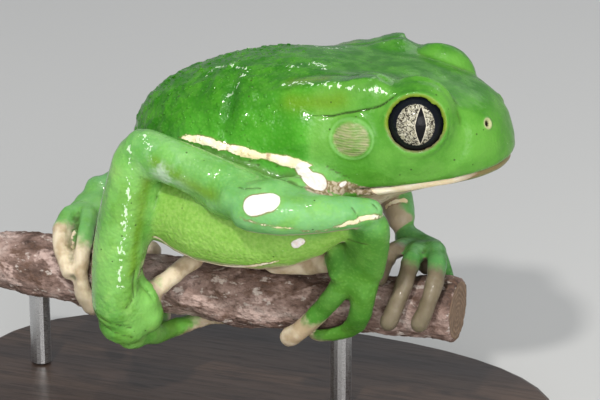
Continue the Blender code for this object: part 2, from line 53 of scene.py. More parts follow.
def gauss(value, width):
    return np.exp(-(value / width) ** 2)


def yawAt(x):
    return pose["yaw"] * smoothStep(x, pose["yawStart"], pose["yawEnd"])


def posed(point):
    x, y, z = point
    yaw = float(yawAt(x))
    return Vector((x - y * math.sin(yaw), y * math.cos(yaw) + math.tan(pose["yaw"]) * max(x - 9.0, 0.0), z))


def straightened(points):
    x, y = points[:, 0].copy(), points[:, 1].copy()
    for _ in range(12):
        yaw = yawAt(x)
        y = (points[:, 1] - math.tan(pose["yaw"]) * np.maximum(x - 9.0, 0.0)) / np.cos(yaw)
        x = points[:, 0] + y * np.sin(yaw)
    return np.stack([x, y, points[:, 2]], axis=1)


# Shader helpers

def setInput(tree, socket, value):
    if isinstance(value, bpy.types.NodeSocket):
        tree.links.new(value, socket)
    elif socket.type == "RGBA":
        socket.default_value = (*value, 1.0)
    else:
        socket.default_value = value


def newMaterial(name, values):
    made = bpy.data.materials.new(name)
    made.use_nodes = True
    shader = made.node_tree.nodes["Principled BSDF"]
    for key, value in values.items():
        setInput(made.node_tree, shader.inputs[key], value)
    return made, made.node_tree, shader


def addNode(tree, kind, inputs, **settings):  # each input is a value, or a socket to link
    node = tree.nodes.new(kind)
    for key, value in settings.items():
        setattr(node, key, value)
    for key, value in inputs.items():
        setInput(tree, node.inputs[key], value)
    return node


def objectPlace(tree, stretch=(1.0, 1.0, 1.0)):
    source = addNode(tree, "ShaderNodeTexCoord", {}).outputs["Object"]
    return addNode(tree, "ShaderNodeMapping", {"Vector": source, "Scale": stretch}).outputs["Vector"]


def axesOf(tree, place):
    return addNode(tree, "ShaderNodeSeparateXYZ", {0: place}).outputs


def mark(tree, name):
    return addNode(tree, "ShaderNodeAttribute", {}, attribute_name=name).outputs["Fac"]


def maths(tree, kind, first, second=0.0):
    return addNode(tree, "ShaderNodeMath", {0: first, 1: second}, operation=kind).outputs[0]


def times(tree, first, *others):
    for other in others:
        first = maths(tree, "MULTIPLY", first, other)
    return first


def plus(tree, first, *others):
    for other in others:
        first = maths(tree, "ADD", first, other)
    return first


def noiseOf(tree, place, size, detail=2.0, rough=0.5, twist=0.0):  # size in millimetres
    node = addNode(tree, "ShaderNodeTexNoise", {
        "Vector": place, "Scale": 1000.0 / size, "Detail": detail, "Roughness": rough, "Distortion": twist})
    return node.outputs["Fac"]


def cellsOf(tree, place, size):
    node = addNode(tree, "ShaderNodeTexVoronoi", {"Vector": place, "Scale": 1000.0 / size})
    return node.outputs["Distance"]


def ease(tree, value, low, high, start=0.0, end=1.0):  # a soft step, which may run downwards
    if low > high:
        low, high, start, end = high, low, end, start
    node = addNode(tree, "ShaderNodeMapRange", {
        "Value": value, "From Min": low, "From Max": high, "To Min": start, "To Max": end},
        interpolation_type="SMOOTHSTEP")
    return node.outputs["Result"]


def blend(tree, amount, first, second):
    return addNode(tree, "ShaderNodeMix", {0: amount, 6: first, 7: second}, data_type="RGBA").outputs[2]


def rampOf(tree, value, stops):
    node = tree.nodes.new("ShaderNodeValToRGB")
    ramp = node.color_ramp
    while len(ramp.elements) < len(stops):
        ramp.elements.new(0.5)
    for element, (position, colour) in zip(ramp.elements, stops):
        element.position = position
        element.color = (*colour, 1.0)
    setInput(tree, node.inputs["Fac"], value)
    return node.outputs["Color"]


def bumps(tree, shader, layers, socket="Normal"):  # each layer is a height and its depth in millimetres
    normal = None
    for height, depth in layers:
        node = addNode(tree, "ShaderNodeBump", {"Strength": 1.0, "Distance": depth * mm, "Height": height})
        if normal:
            tree.links.new(normal, node.inputs["Normal"])
        normal = node.outputs["Normal"]
    tree.links.new(normal, shader.inputs[socket])


# Mesh helpers

def meshObject(name, points, faces, material=None, smooth=True):
    mesh = bpy.data.meshes.new(name)
    mesh.from_pydata([tuple(Vector(p) * mm) for p in points], [], faces)
    made = bpy.data.objects.new(name, mesh)
    bpy.context.collection.objects.link(made)
    if material:
        mesh.materials.append(material)
    if smooth:
        mesh.shade_smooth()
    return made


def ringFaces(rings, sides, first=0):  # the faces between rings of points, numbered from the first
    faces = []
    for i in range(rings - 1):
        a, b = first + i * sides, first + (i + 1) * sides
        faces += [(a + j, b + j, b + (j + 1) % sides, a + (j + 1) % sides) for j in range(sides)]
    return faces


def outwards(thing):
    work = bmesh.new()
    work.from_mesh(thing.data)
    bmesh.ops.recalc_face_normals(work, faces=work.faces)
    work.to_mesh(thing.data)
    work.free()
    return thing


def placesOf(mesh):
    flat = np.empty(len(mesh.vertices) * 3)
    mesh.vertices.foreach_get("co", flat)
    return flat.reshape(-1, 3) / mm


def setPlaces(mesh, places):
    mesh.vertices.foreach_set("co", (places * mm).ravel())
    mesh.update()


def normalsOf(mesh):
    flat = np.empty(len(mesh.vertices) * 3)
    mesh.vertex_normals.foreach_get("vector", flat)
    return flat.reshape(-1, 3)


def edgesOf(mesh):
    flat = np.empty(len(mesh.edges) * 2, dtype=np.int32)
    mesh.edges.foreach_get("vertices", flat)
    return flat.reshape(-1, 2)


def averaged(values, edges, rounds=1):  # each point takes the mean of its neighbours
    counts = np.bincount(edges.ravel(), minlength=len(values)).astype(float)[:, None]
    for _ in range(rounds):
        total = np.zeros_like(values)
        for near, far in ((0, 1), (1, 0)):
            for k in range(values.shape[1]):
                total[:, k] += np.bincount(edges[:, near], values[edges[:, far], k], len(values))
        values = total / counts
    return values


def relaxed(places, edges, rounds, weight=None):  # smooths a surface without shrinking it
    for _ in range(rounds):
        for step in (0.52, -0.53):
            move = (averaged(places, edges) - places) * step
            places = places + (move if weight is None else move * weight[:, None])
    return places


def alongPath(points, path):  # distance to a path, and the share of its length where the nearest place is
    path = np.asarray(path, float)
    steps = np.linalg.norm(np.diff(path, axis=0), axis=1)
    starts = np.concatenate([[0.0], np.cumsum(steps)])
    best = np.full(len(points), 1e9)
    where = np.zeros(len(points))
    for k in range(len(path) - 1):
        span = path[k + 1] - path[k]
        t = np.clip((points - path[k]) @ span / max(span @ span, 1e-9), 0.0, 1.0)
        far = np.linalg.norm(points - path[k] - t[:, None] * span, axis=1)
        nearer = far < best
        best = np.where(nearer, far, best)
        where = np.where(nearer, (starts[k] + t * steps[k]) / starts[-1], where)
    return best, where


def settled(path, points):  # a path laid down on the surface in half millimetre steps
    path = np.asarray(path, float)
    starts = np.concatenate([[0.0], np.cumsum(np.linalg.norm(np.diff(path, axis=0), axis=1))])
    at = np.linspace(0.0, starts[-1], max(2, int(starts[-1] / 0.5)))
    dense = np.stack([np.interp(at, starts, path[:, k]) for k in range(3)], axis=1)
    found = np.array([points[np.argmin(((points - spot) ** 2).sum(axis=1))] for spot in dense])
    found[1:-1] = (found[:-2] + found[1:-1] + found[2:]) / 3.0
    return found


def offPath(points, path):  # as alongPath, with the path laid down on the surface first
    return alongPath(points, settled(path, points))


def widest(parts):
    return np.max(list(parts), axis=0)


# The branch's form, which the digits also follow

barkForm = {"radius": 4.3, "left": -39.5, "right": 30.6, "rings": 250, "sides": 96, "relief": 0.42}


def barkAxis(x):
    return Vector((x, 0.5 * math.sin(x * 0.09), 19.35 + 0.028 * x + 0.0009 * x * x))


def barkPoint(x, turn, off=0.0):
    reach = barkForm["radius"] + off + 0.28 * math.sin(0.21 * x + 1.0)
    reach += 0.14 * math.sin(3 * turn + 0.35 * x) + 0.10 * math.sin(5 * turn - 0.8 * x)
    return barkAxis(x) + Vector((0, -reach * math.sin(turn), reach * math.cos(turn)))


def roundBranch(path):  # places for (x, turn in degrees, stand-off from the bark)
    return [barkPoint(x, math.radians(turn), off) for x, turn, off in path]


# Skin: the flesh nodes melted into one, shaped, and marked

skinForm = {"swell": 0.20, "cell": 0.42, "rounds": 9, "draw": 0.08, "fillRounds": 110}
eyeForm = {"centre": (25.3, 8.9, 50.3), "axis": (0.16, 1.0, 0.14), "shift": -0.5, "radius": 4.1,
           "opening": 3.85}
earForm = {"centre": (17.4, 12.2, 48.3), "radius": 2.85,  # and rings: share of the radius, width, rise
           "rings": ((1.0, 0.10, 0.05), (0.84, 0.08, -0.07), (1.18, 0.08, -0.05))}
nostrilForm = {"place": (34.2, 5.5, 49.4), "rim": 0.72, "rimRise": 0.14, "depth": 0.85}
mouthForm = {"depth": 0.34, "width": 0.24, "lowerRise": 0.16, "upperRise": 0.10}
foldForm = {"depth": 0.17, "width": 0.20}
glandForm = {"depth": 0.22, "width": 0.30}
grooveForm = {"depth": 0.65, "width": 0.9, "edgeRise": 0.12}
raisedForm = {"stripe": 0.26, "spots": 0.14, "knuckles": 0.10}
lumpForm = {"back": 0.34, "elsewhere": 0.05}
longFinger = {"digit": 2, "flatter": 0.42}
wetParts = {"tarsus": 1.0, "shank": 0.6, "trunk": 0.5, "head": 0.3}
grainyParts = {"thigh": 1.2, "tarsus": 0.8, "shank": 0.8, "trunk": 0.7, "forearm": 0.5, "upperArm": 0.5,
               "paw": 0.35, "head": 0.30}

fleshNodes = {  # each node and the part that it belongs to
    "head": "head", "lower_jaw": "head", "tympanum_right": "head", "tympanum_left": "head", "torso": "trunk",
    "upper_arm_right": "upperArm", "upper_arm_left": "upperArm", "forearm_right": "forearm",
    "forearm_left": "forearm", "hand_right": "paw", "hand_left": "paw", "foot_right": "paw",
    "foot_left": "paw", "thigh_right": "thigh", "thigh_left": "thigh", "shank_right": "shank",
    "shank_left": "shank", "tarsus_right": "tarsus", "tarsus_left": "tarsus",
}

# Soft tissue at the joints and between fingers: points and a radius.
fillets = (
    (((-10.1, -14.3, 43.4), (-10.9, -14.2, 42.4)), 3.0),
    (((15.8, -13.6, 37.5),), 2.6),
    (((2.4, -17.2, 40.0), (5.4, -18.9, 40.6), (8.0, -19.8, 40.5)), 2.5),
    (((22.0, -14.8, 38.8), (22.3, -13.8, 37.2)), 1.9),
    (((15.9, -8.9, 31.6), (16.6, -8.7, 30.0), (15.2, -7.6, 29.6), (16.4, -9.3, 28.2)), 1.5),
    (((-13.6, -13.0, 19.8), (-12.0, -12.4, 20.4)), 2.6),
    (((-11.0, -12.8, 21.2), (-11.6, -12.8, 22.4)), 1.4),
    (((-9.3, 16.2, 39.0), (-10.2, 16.0, 38.3)), 2.9),
    (((15.3, 14.9, 35.7),), 2.6),
    (((-27.4, 9.6, 28.4),), 2.3),
    (((19.3, 10.2, 28.5),), 1.6),
    (((10.1, 20.2, 34.1),), 2.2),
)

# Where hollows between neighbouring parts are drawn smooth: points and a reach.
softFolds = (
    (((-8.6, -15.2, 41.0), (-4.8, -15.8, 39.8), (0.0, -16.2, 38.6), (5.0, -16.2, 37.8), (10.0, -15.6, 37.4)),
     2.6),
    (((-8.6, -15.2, 41.5), (-8.9, -14.9, 38.5), (-9.3, -14.3, 35.5), (-9.7, -13.8, 32.5),
      (-10.0, -13.2, 30.4)), 2.2),
    (((6.6, -20.2, 41.4), (8.6, -20.2, 41.6), (11.5, -19.0, 42.2), (14.6, -16.4, 42.2), (16.6, -13.4, 41.6)),
     2.6),
    (((7.6, -18.6, 38.6), (5.6, -18.8, 39.6), (4.6, -18.6, 41.4), (6.4, -18.6, 43.0)), 2.4),
    (((22.4, -15.2, 38.6), (21.4, -12.8, 36.6)), 3.4),
    (((16.8, -9.3, 32.0), (16.2, -8.8, 28.6)), 3.0),
    (((-14.4, -13.6, 19.2), (-11.6, -13.4, 19.6), (-10.6, -13.4, 23.6)), 4.0),
    (((-13.4, -11.0, 15.4), (-11.4, -10.0, 15.6)), 2.6),
    (((-10.3, -15.4, 43.2), (-8.8, -15.4, 44.6)), 3.0),
    (((16.0, -14.2, 37.4), (14.6, -15.0, 37.0)), 3.0),
    (((16.0, -10.6, 40.4), (19.6, -8.4, 39.6)), 3.0),
    (((-8.6, 16.8, 37.0), (-3.0, 17.2, 36.6), (4.0, 17.2, 36.0), (10.0, 16.8, 35.4)), 2.6),
    (((-9.6, 16.4, 38.6),), 3.4), (((15.4, 15.2, 35.8),), 3.4), (((-27.0, 9.4, 27.8),), 3.2),
    (((19.4, 10.2, 28.6),), 2.6), (((10.2, 20.2, 34.4),), 3.4),
    (((13.0, 16.0, 40.6), (10.6, 19.6, 37.4)), 3.0), (((16.0, 10.6, 41.2), (19.6, 9.4, 39.8)), 3.0),
)

# Digits run round the branch through (x, turn in degrees, stand-off), and turn pale from a share on.
digits = (
    (((17.4, 38, 8.1), (13.8, 34, 5.4), (9.4, 26, 2.4), (4.6, 24, 1.8)), 0.14),
    (((17.9, 46, 7.9), (16.2, 57, 6.1), (13.2, 77, 2.4), (10.2, 108, 1.9), (7.6, 130, 1.9)), 0.56),
    (((20.4, 48, 7.8), (19.6, 62, 5.4), (18.2, 88, 2.4), (16.6, 114, 1.9), (14.2, 130, 1.9),
      (11.4, 140, 1.9)), 0.90),
    (((20.2, 38, 7.0), (18.8, 26, 4.8), (17.4, -22, 2.3), (16.6, -64, 1.8), (16.2, -102, 1.8)), 0.5),
    (((-12.0, 84, 7.0), (-11.0, 74, 5.6), (-9.2, 60, 4.0), (-7.2, 27, 2.0)), 0.20),
    (((-12.4, 118, 4.4), (-11.2, 164, 2.3), (-7.6, 206, 1.8), (-1.4, 214, 1.8)), 0.40),
    (((-12.4, 122, 4.2), (-13.6, 166, 2.6), (-14.4, 210, 1.9), (-14.4, 254, 1.9)), 0.5),
    (((-13.2, 124, 4.2), (-16.0, 166, 2.6), (-17.2, 212, 1.9), (-17.4, 256, 1.9), (-17.2, 296, 1.9)), 0.5),
    (((-14.2, 122, 4.2), (-17.8, 152, 2.6), (-19.8, 186, 1.9), (-20.2, 222, 1.9)), 0.5),
    (((21.4, -38, 4.8), (20.6, -18, 3.6), (20.2, 2, 2.6), (20.0, 28, 1.8)), 0.2),
    (((23.4, -32, 3.9), (23.8, -8, 3.1), (24.1, 32, 2.4), (23.4, 66, 1.8), (22.5, 90, 1.8)), 0.36),
    (((25.6, -30, 3.7), (27.2, -8, 3.1), (28.4, 34, 2.4), (27.9, 66, 1.8), (27.0, 88, 1.8)), 0.42),
    (((25.4, -42, 3.9), (26.6, -66, 2.5), (27.2, -102, 1.8), (26.8, -140, 1.8)), 0.5),
    (((-26.4, -40, 4.4), (-24.6, -62, 2.8), (-24.2, -98, 1.9), (-24.4, -134, 1.9)), 0.5),
    (((-26.6, -26, 3.9), (-25.0, 0, 3.1), (-23.8, 42, 2.3), (-23.3, 82, 1.9), (-21.8, 112, 1.9)), 0.42),
    (((-27.8, -26, 3.7), (-28.4, 2, 2.9), (-27.0, 40, 2.2), (-25.8, 56, 1.9), (-24.9, 68, 1.9)), 0.34),
    (((-29.0, -38, 3.9), (-30.6, -66, 2.6), (-31.2, -102, 1.9), (-31.0, -140, 1.9)), 0.5),
    (((-27.8, -44, 4.0), (-27.8, -74, 2.8), (-27.8, -110, 1.9), (-27.6, -148, 1.9)), 0.5),
)

# Markings of head and trunk on the straight animal, as (x, distance from the middle, z).
stripe = {
    "path": ((-5.9, 11.2, 45.3), (-4.5, 11.6, 45.7), (-1.6, 12.3, 45.8), (0.9, 12.8, 45.7), (1.7, 12.9, 45.6),
             (3.7, 13.2, 45.4), (5.8, 13.2, 45.1), (6.5, 13.2, 45.1), (8.1, 13.1, 45.0), (9.8, 12.9, 44.6),
             (12.4, 12.9, 43.5)),
    "half": (0.02, 0.50, 0.72, 0.60, 0.40, 0.72, 0.60, 0.34, 0.55, 0.75, 0.80),
    "seams": (0.435, 0.711),
}
foldPath = ((23.4, 10.6, 54.4), (22.6, 11.2, 53.7), (21.4, 11.0, 52.9), (20.2, 11.1, 52.3),
            (17.6, 11.4, 51.8), (14.3, 11.5, 50.9), (11.9, 11.6, 50.8), (10.0, 11.3, 51.1), (8.7, 11.0, 51.7))
glandPath = ((7.9, 8.9, 54.0), (9.6, 7.4, 54.7), (11.4, 7.0, 55.0), (13.4, 7.1, 55.2), (16.1, 7.8, 55.5),
             (19.0, 8.6, 55.6), (21.5, 9.2, 55.2), (23.0, 9.6, 54.6))
oliveMarks = (
    (((9.6, 10.8, 52.2), (12.9, 10.9, 52.4), (15.5, 11.0, 52.9)), 1.3),
    (((9.2, 8.6, 54.0), (13.0, 8.6, 54.8)), 0.9),
    (((-6.4, 17.9, 44.2), (-4.2, 18.4, 43.2), (0.3, 18.9, 41.5), (3.9, 19.0, 40.3)), 0.9),
    (((-8.6, 16.6, 41.0), (-9.2, 16.4, 37.5), (-10.4, 16.2, 32.0), (-11.2, 16.0, 27.0)), 0.9),
)
groovePath = ((0.5, 6.0, 54.0), (1.0, 9.1, 52.6), (1.2, 10.3, 51.4), (1.4, 11.6, 49.7), (1.5, 12.5, 47.9),
              (1.7, 12.8, 46.6))
# The web at the near heel: pale skin with a painted bluish-white highlight on it.
heelHighlight = {"path": ((-6.2, -18.0, 43.8), (-4.9, -18.2, 42.6), (-4.4, -17.4, 40.8)), "reach": 2.0}

# Round and long spots in posed places: a short path and a radius.
spotList = (
    (((12.3, -12.7, 43.9), (13.2, -13.6, 43.8), (14.4, -14.3, 43.4)), 0.85),
    (((14.6, -14.4, 43.0), (15.0, -14.1, 42.7)), 1.45),
    (((14.4, 15.2, 42.6), (14.9, 14.8, 42.3)), 1.48),
    (((8.9, -22.0, 41.35), (10.0, -21.9, 41.6), (11.0, -21.5, 41.9)), 1.42),
    (((10.6, 22.0, 34.4), (12.6, 21.4, 34.2)), 1.42),
    (((12.95, -16.6, 34.4), (13.8, -16.5, 35.0)), 0.62), (((12.1, 17.3, 32.9), (13.0, 17.2, 33.5)), 0.62),
    (((17.4, -11.6, 41.9), (18.0, -11.4, 41.9)), 0.34),
)

# Rough brown-pink skin from the shoulder's spot to the corner of the mouth.
pinkPaths = (
    ((16.2, -13.2, 41.8), (16.9, -11.6, 41.2), (18.3, -10.9, 41.3), (19.5, -10.4, 41.0), (20.9, -9.6, 40.6),
     (22.3, -8.9, 40.4)),
    ((14.6, -16.0, 41.7), (16.0, -15.6, 41.6), (17.2, -14.6, 41.5)),
    ((16.2, 14.6, 41.6), (17.6, 13.6, 41.0), (19.6, 13.2, 40.8), (21.6, 13.0, 40.6)),
)

# Pale warty edges of the limbs, with half widths along them.
fringes = (
    (((7.4, -22.4, 39.5), (8.7, -22.5, 39.3), (10.8, -22.5, 39.1), (12.8, -22.3, 39.0), (14.5, -21.8, 38.8),
      (17.2, -20.2, 38.3), (19.4, -19.4, 38.8), (20.7, -18.7, 39.3), (22.2, -17.6, 39.5), (23.8, -16.2, 39.6),
      (24.2, -14.6, 39.2)),
     (0.02, 0.05, 0.04, 0.05, 0.04, 0.06, 0.06, 0.26, 0.40, 0.34, 0.10)),
    (((-8.4, -13.4, 31.8), (-6.0, -13.6, 30.6), (-2.5, -13.9, 29.5), (0.5, -14.4, 29.2), (3.7, -15.0, 29.5),
      (7.0, -15.9, 30.3), (10.0, -16.2, 31.5), (12.6, -16.2, 32.9)),
     (0.30, 0.40, 0.42, 0.42, 0.40, 0.30, 0.06, -0.40)),
    (((16.6, 10.9, 30.9), (17.8, 10.8, 31.4), (19.0, 11.6, 31.7)), (0.25, 0.42, 0.30)),
    (((10.8, 22.4, 33.0), (14.0, 19.8, 31.2), (17.4, 15.4, 29.6), (19.0, 12.0, 28.8)),
     (0.10, 0.2, 0.4, 0.25)),
    (((-6.0, 14.2, 31.0), (0.7, 15.0, 29.6), (6.0, 15.8, 29.6), (11.0, 16.6, 30.8), (16.0, 15.8, 33.0)),
     (0.2, 0.42, 0.42, 0.3, 0.1)),
)

# Creases pressed into the posed skin: path, depth and width.
creases = (
    (((-10.7, -15.9, 27.2), (-10.8, -15.8, 25.6), (-10.9, -15.4, 24.0), (-11.2, -15.5, 22.5),
      (-12.1, -16.2, 21.5)), 0.30, 0.24),
    (((-16.3, -16.2, 19.7), (-13.8, -16.2, 18.9), (-11.8, -15.0, 18.2)), 0.16, 0.24),
    (((-15.8, -16.0, 18.0), (-13.4, -15.8, 17.2), (-12.0, -14.4, 16.8)), 0.14, 0.24),
    (((7.2, -15.2, 43.4), (9.0, -16.0, 43.2), (11.2, -16.4, 43.2), (13.6, -16.8, 42.5)), 0.24, 0.24),
    (((9.2, -14.4, 43.9), (11.0, -15.0, 43.9), (12.8, -14.9, 43.6)), 0.16, 0.22),
    (((6.4, -19.6, 42.0), (7.8, -20.2, 42.4), (9.2, -20.0, 42.7)), 0.16, 0.24),
    (((21.2, -17.9, 41.2), (22.0, -18.0, 40.2), (22.2, -17.6, 39.4)), 0.14, 0.22),
    (((23.6, -15.8, 41.4), (24.2, -15.6, 40.4), (24.2, -15.4, 39.2)), 0.16, 0.24),
    (((19.4, -12.4, 35.6), (20.6, -13.2, 35.0), (22.0, -13.9, 35.0)), 0.12, 0.24),
    (((5.1, -13.3, 44.2), (6.4, -13.6, 43.9), (8.6, -15.2, 43.8), (10.7, -17.2, 43.6), (13.0, -16.9, 42.9),
      (15.0, -15.7, 41.6)), 0.30, 0.26),
    (((15.6, -12.2, 44.2), (16.9, -11.6, 43.6), (18.6, -11.3, 42.8)), 0.16, 0.24),
)

# Gaps between neighbouring toes.
partings = (
    (roundBranch(((-26.8, -8, 3.4), (-26.0, 14, 3.0), (-25.5, 34, 2.6), (-24.9, 52, 2.4), (-24.2, 74, 2.4))),
     1.0, 0.42),
)

# Soft parts pressed in or raised: a posed place, a reach and a depth.
presses = (((-8.6, -13.0, 23.6), 2.7, 1.4), ((-8.9, -12.6, 24.8), 2.0, 1.0), ((-8.3, -14.4, 31.0), 3.5, 0.30))

# Painted highlights: pale flecks down the heel and the tarsus, and on top of the gland and the shoulder,
# standing for glints on wet skin.
glintPaths = (
    ((-10.4, 16.8, 45.4), (-10.5, 17.5, 43.1), (-10.6, 17.6, 41.0), (-10.9, 17.7, 38.8), (-11.1, 17.7, 36.7),
     (-11.2, 17.5, 33.7), (-11.7, 17.6, 31.5), (-12.2, 17.4, 28.9), (-12.5, 17.1, 26.1), (-12.6, 16.9, 24.4)),
    ((-9.2, 15.5, 47.0), (-8.2, 16.9, 46.1), (-7.4, 17.7, 45.1), (-6.6, 18.1, 43.9)),
    ((8.3, 9.1, 54.0), (9.5, 9.1, 54.3), (12.2, 10.2, 54.8), (14.7, 10.5, 54.9), (17.4, 10.9, 55.0),
     (20.1, 11.0, 54.8), (21.4, 10.7, 54.5)),
    ((7.4, 5.4, 55.2), (9.2, 4.2, 55.4), (11.2, 3.5, 55.5), (12.4, 5.3, 55.3)),
    ((-4.1, 5.8, 52.6), (-3.1, 3.6, 53.6), (1.2, 5.3, 54.4), (3.0, 6.7, 54.2), (1.5, 8.0, 53.3),
     (0.7, 9.7, 51.9)),
)


def gatherFlesh():
    gathered = bmesh.new()
    sources = []
    for name in fleshNodes:
        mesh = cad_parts[name].data.copy()
        work = bmesh.new()
        work.from_mesh(mesh)
        bmesh.ops.remove_doubles(work, verts=work.verts, dist=2e-6)
        work.normal_update()
        sources += [(name, f.calc_center_median() / mm) for f in work.faces]
        sources += [(name, v.co / mm) for v in work.verts]
        shifts = [v.normal * skinForm["swell"] * mm for v in work.verts]
        for vertex, shift in zip(work.verts, shifts):
            vertex.co += shift
        work.to_mesh(mesh)
        work.free()
        gathered.from_mesh(mesh)
        bpy.data.meshes.remove(mesh)
    for path, radius in fillets:
        steps = max(1, 6 * (len(path) - 1))
        for i in range(steps + 1):
            at = i / steps * (len(path) - 1)
            k = min(int(at), max(len(path) - 2, 0))
            spot = Vector(path[k]).lerp(Vector(path[min(k + 1, len(path) - 1)]), at - k)
            made = bmesh.ops.create_icosphere(gathered, subdivisions=2, radius=radius * mm)
            bmesh.ops.translate(gathered, verts=made["verts"], vec=spot * mm)
    mesh = bpy.data.meshes.new("flesh")
    gathered.to_mesh(mesh)
    gathered.free()
    flesh = bpy.data.objects.new("flesh", mesh)
    bpy.context.collection.objects.link(flesh)
    melt = flesh.modifiers.new("melt", "REMESH")
    melt.mode = "VOXEL"
    melt.voxel_size = skinForm["cell"] * mm
    skin = bpy.data.meshes.new_from_object(flesh.evaluated_get(bpy.context.evaluated_depsgraph_get()))
    bpy.data.objects.remove(flesh)
    bpy.data.meshes.remove(mesh)
    return skin, sources


def fineZone(places):  # points near the mouth, the fold, the ear drum, the lids and the nostrils
    flat = straightened(places)
    flat[:, 1] = np.abs(flat[:, 1])
    x, y, z = flat.T
    ear = np.hypot(x - earForm["centre"][0], z - earForm["centre"][2]) / earForm["radius"]
    zone = (ear > 0.75) & (ear < 1.25) & (y > 9.0)
    zone |= (np.abs(z - np.interp(x, *zip(*mouthLine))) < 0.8) & (x > 17.0)
    zone |= offPath(flat, foldPath)[0] < 0.5
    zone |= np.linalg.norm(flat - np.array(nostrilForm["place"]), axis=1) < 1.7
    eye = np.linalg.norm(flat - np.array(eyeForm["centre"]), axis=1)
    zone |= (eye < 5.0) & (y > 9.4) & (np.hypot(x - eyeForm["centre"][0], z - eyeForm["centre"][2]) > 2.8)
    return zone


def refine(skin, zone):
    work = bmesh.new()
    work.from_mesh(skin)
    chosen = [e for e in work.edges if zone[e.verts[0].index] and zone[e.verts[1].index]]
    bmesh.ops.subdivide_edges(work, edges=chosen, cuts=1, use_grid_fill=True)
    work.to_mesh(skin)
    work.free()


def partShares(places, edges, sources):  # how much each point belongs to each part
    tree = kdtree.KDTree(len(sources))
    for i, (_, spot) in enumerate(sources):
        tree.insert(spot, i)
    tree.balance()
    parts = sorted(set(fleshNodes.values())) + ["left"]
    shares = np.zeros((len(places), len(parts)))
    for i, spot in enumerate(places):
        name = sources[tree.find(spot)[1]][0]
        shares[i, parts.index(fleshNodes[name])] = 1.0
        shares[i, -1] = name.endswith("_left")
    return dict(zip(parts, averaged(shares, edges, 4).T))


def eyeFrame(side):
    out = Vector((eyeForm["axis"][0], side * eyeForm["axis"][1], eyeForm["axis"][2])).normalized()
    eye = Vector((eyeForm["centre"][0], side * eyeForm["centre"][1], eyeForm["centre"][2]))
    centre = posed(eye)
    return centre, (posed(eye + out) - centre).normalized()


def lidReach(places):  # distance outwards from the edge of the eye's opening
    reach = np.full(len(places), 9.0)
    for side in (-1, 1):
        centre, ahead = eyeFrame(side)
        gap = places - np.array(centre)
        depth = gap @ np.array(ahead)
        radial = np.linalg.norm(gap - depth[:, None] * np.array(ahead), axis=1)
        here = (depth > 0.2) & (radial < 8.0)
        reach = np.where(here, np.minimum(reach, radial - eyeForm["opening"]), reach)
    return reach


def foldFilled(skin, places, edges):  # raises the hollows between parts until they are gently rounded
    weight = np.zeros(len(places))
    for path, reach in softFolds:
        weight = np.maximum(weight, 1.15 * gauss(alongPath(places, path)[0], reach))
    weight = np.clip(weight, 0.0, 1.0)
    for i in range(skinForm["fillRounds"]):
        if i % 10 == 0:
            setPlaces(skin, places)
            normals = normalsOf(skin)
        rise = np.einsum("ij,ij->i", averaged(places, edges) - places, normals)
        places = places + normals * (np.maximum(rise, 0.0) * weight * 0.9)[:, None]
    return places


def tucked(places):  # presses the end of the long finger flatter against the underside of the branch
    x, y, z = places.T
    axis = np.array([barkAxis(v) for v in x])
    turn = np.degrees(np.arctan2(axis[:, 1] - y, z - axis[:, 2]))
    near = 1.0 - smoothStep(alongPath(places, roundBranch(digits[longFinger["digit"]][0]))[0], 1.9, 2.6)
    press = near * smoothStep(turn, 80.0, 118.0) * (1.0 - smoothStep(turn, 165.0, 200.0))
    out = places - axis
    reach = np.linalg.norm(out, axis=1)
    over = np.maximum(reach - barkForm["radius"], 0.0)
    return places - out * (longFinger["flatter"] * press * over / reach)[:, None]


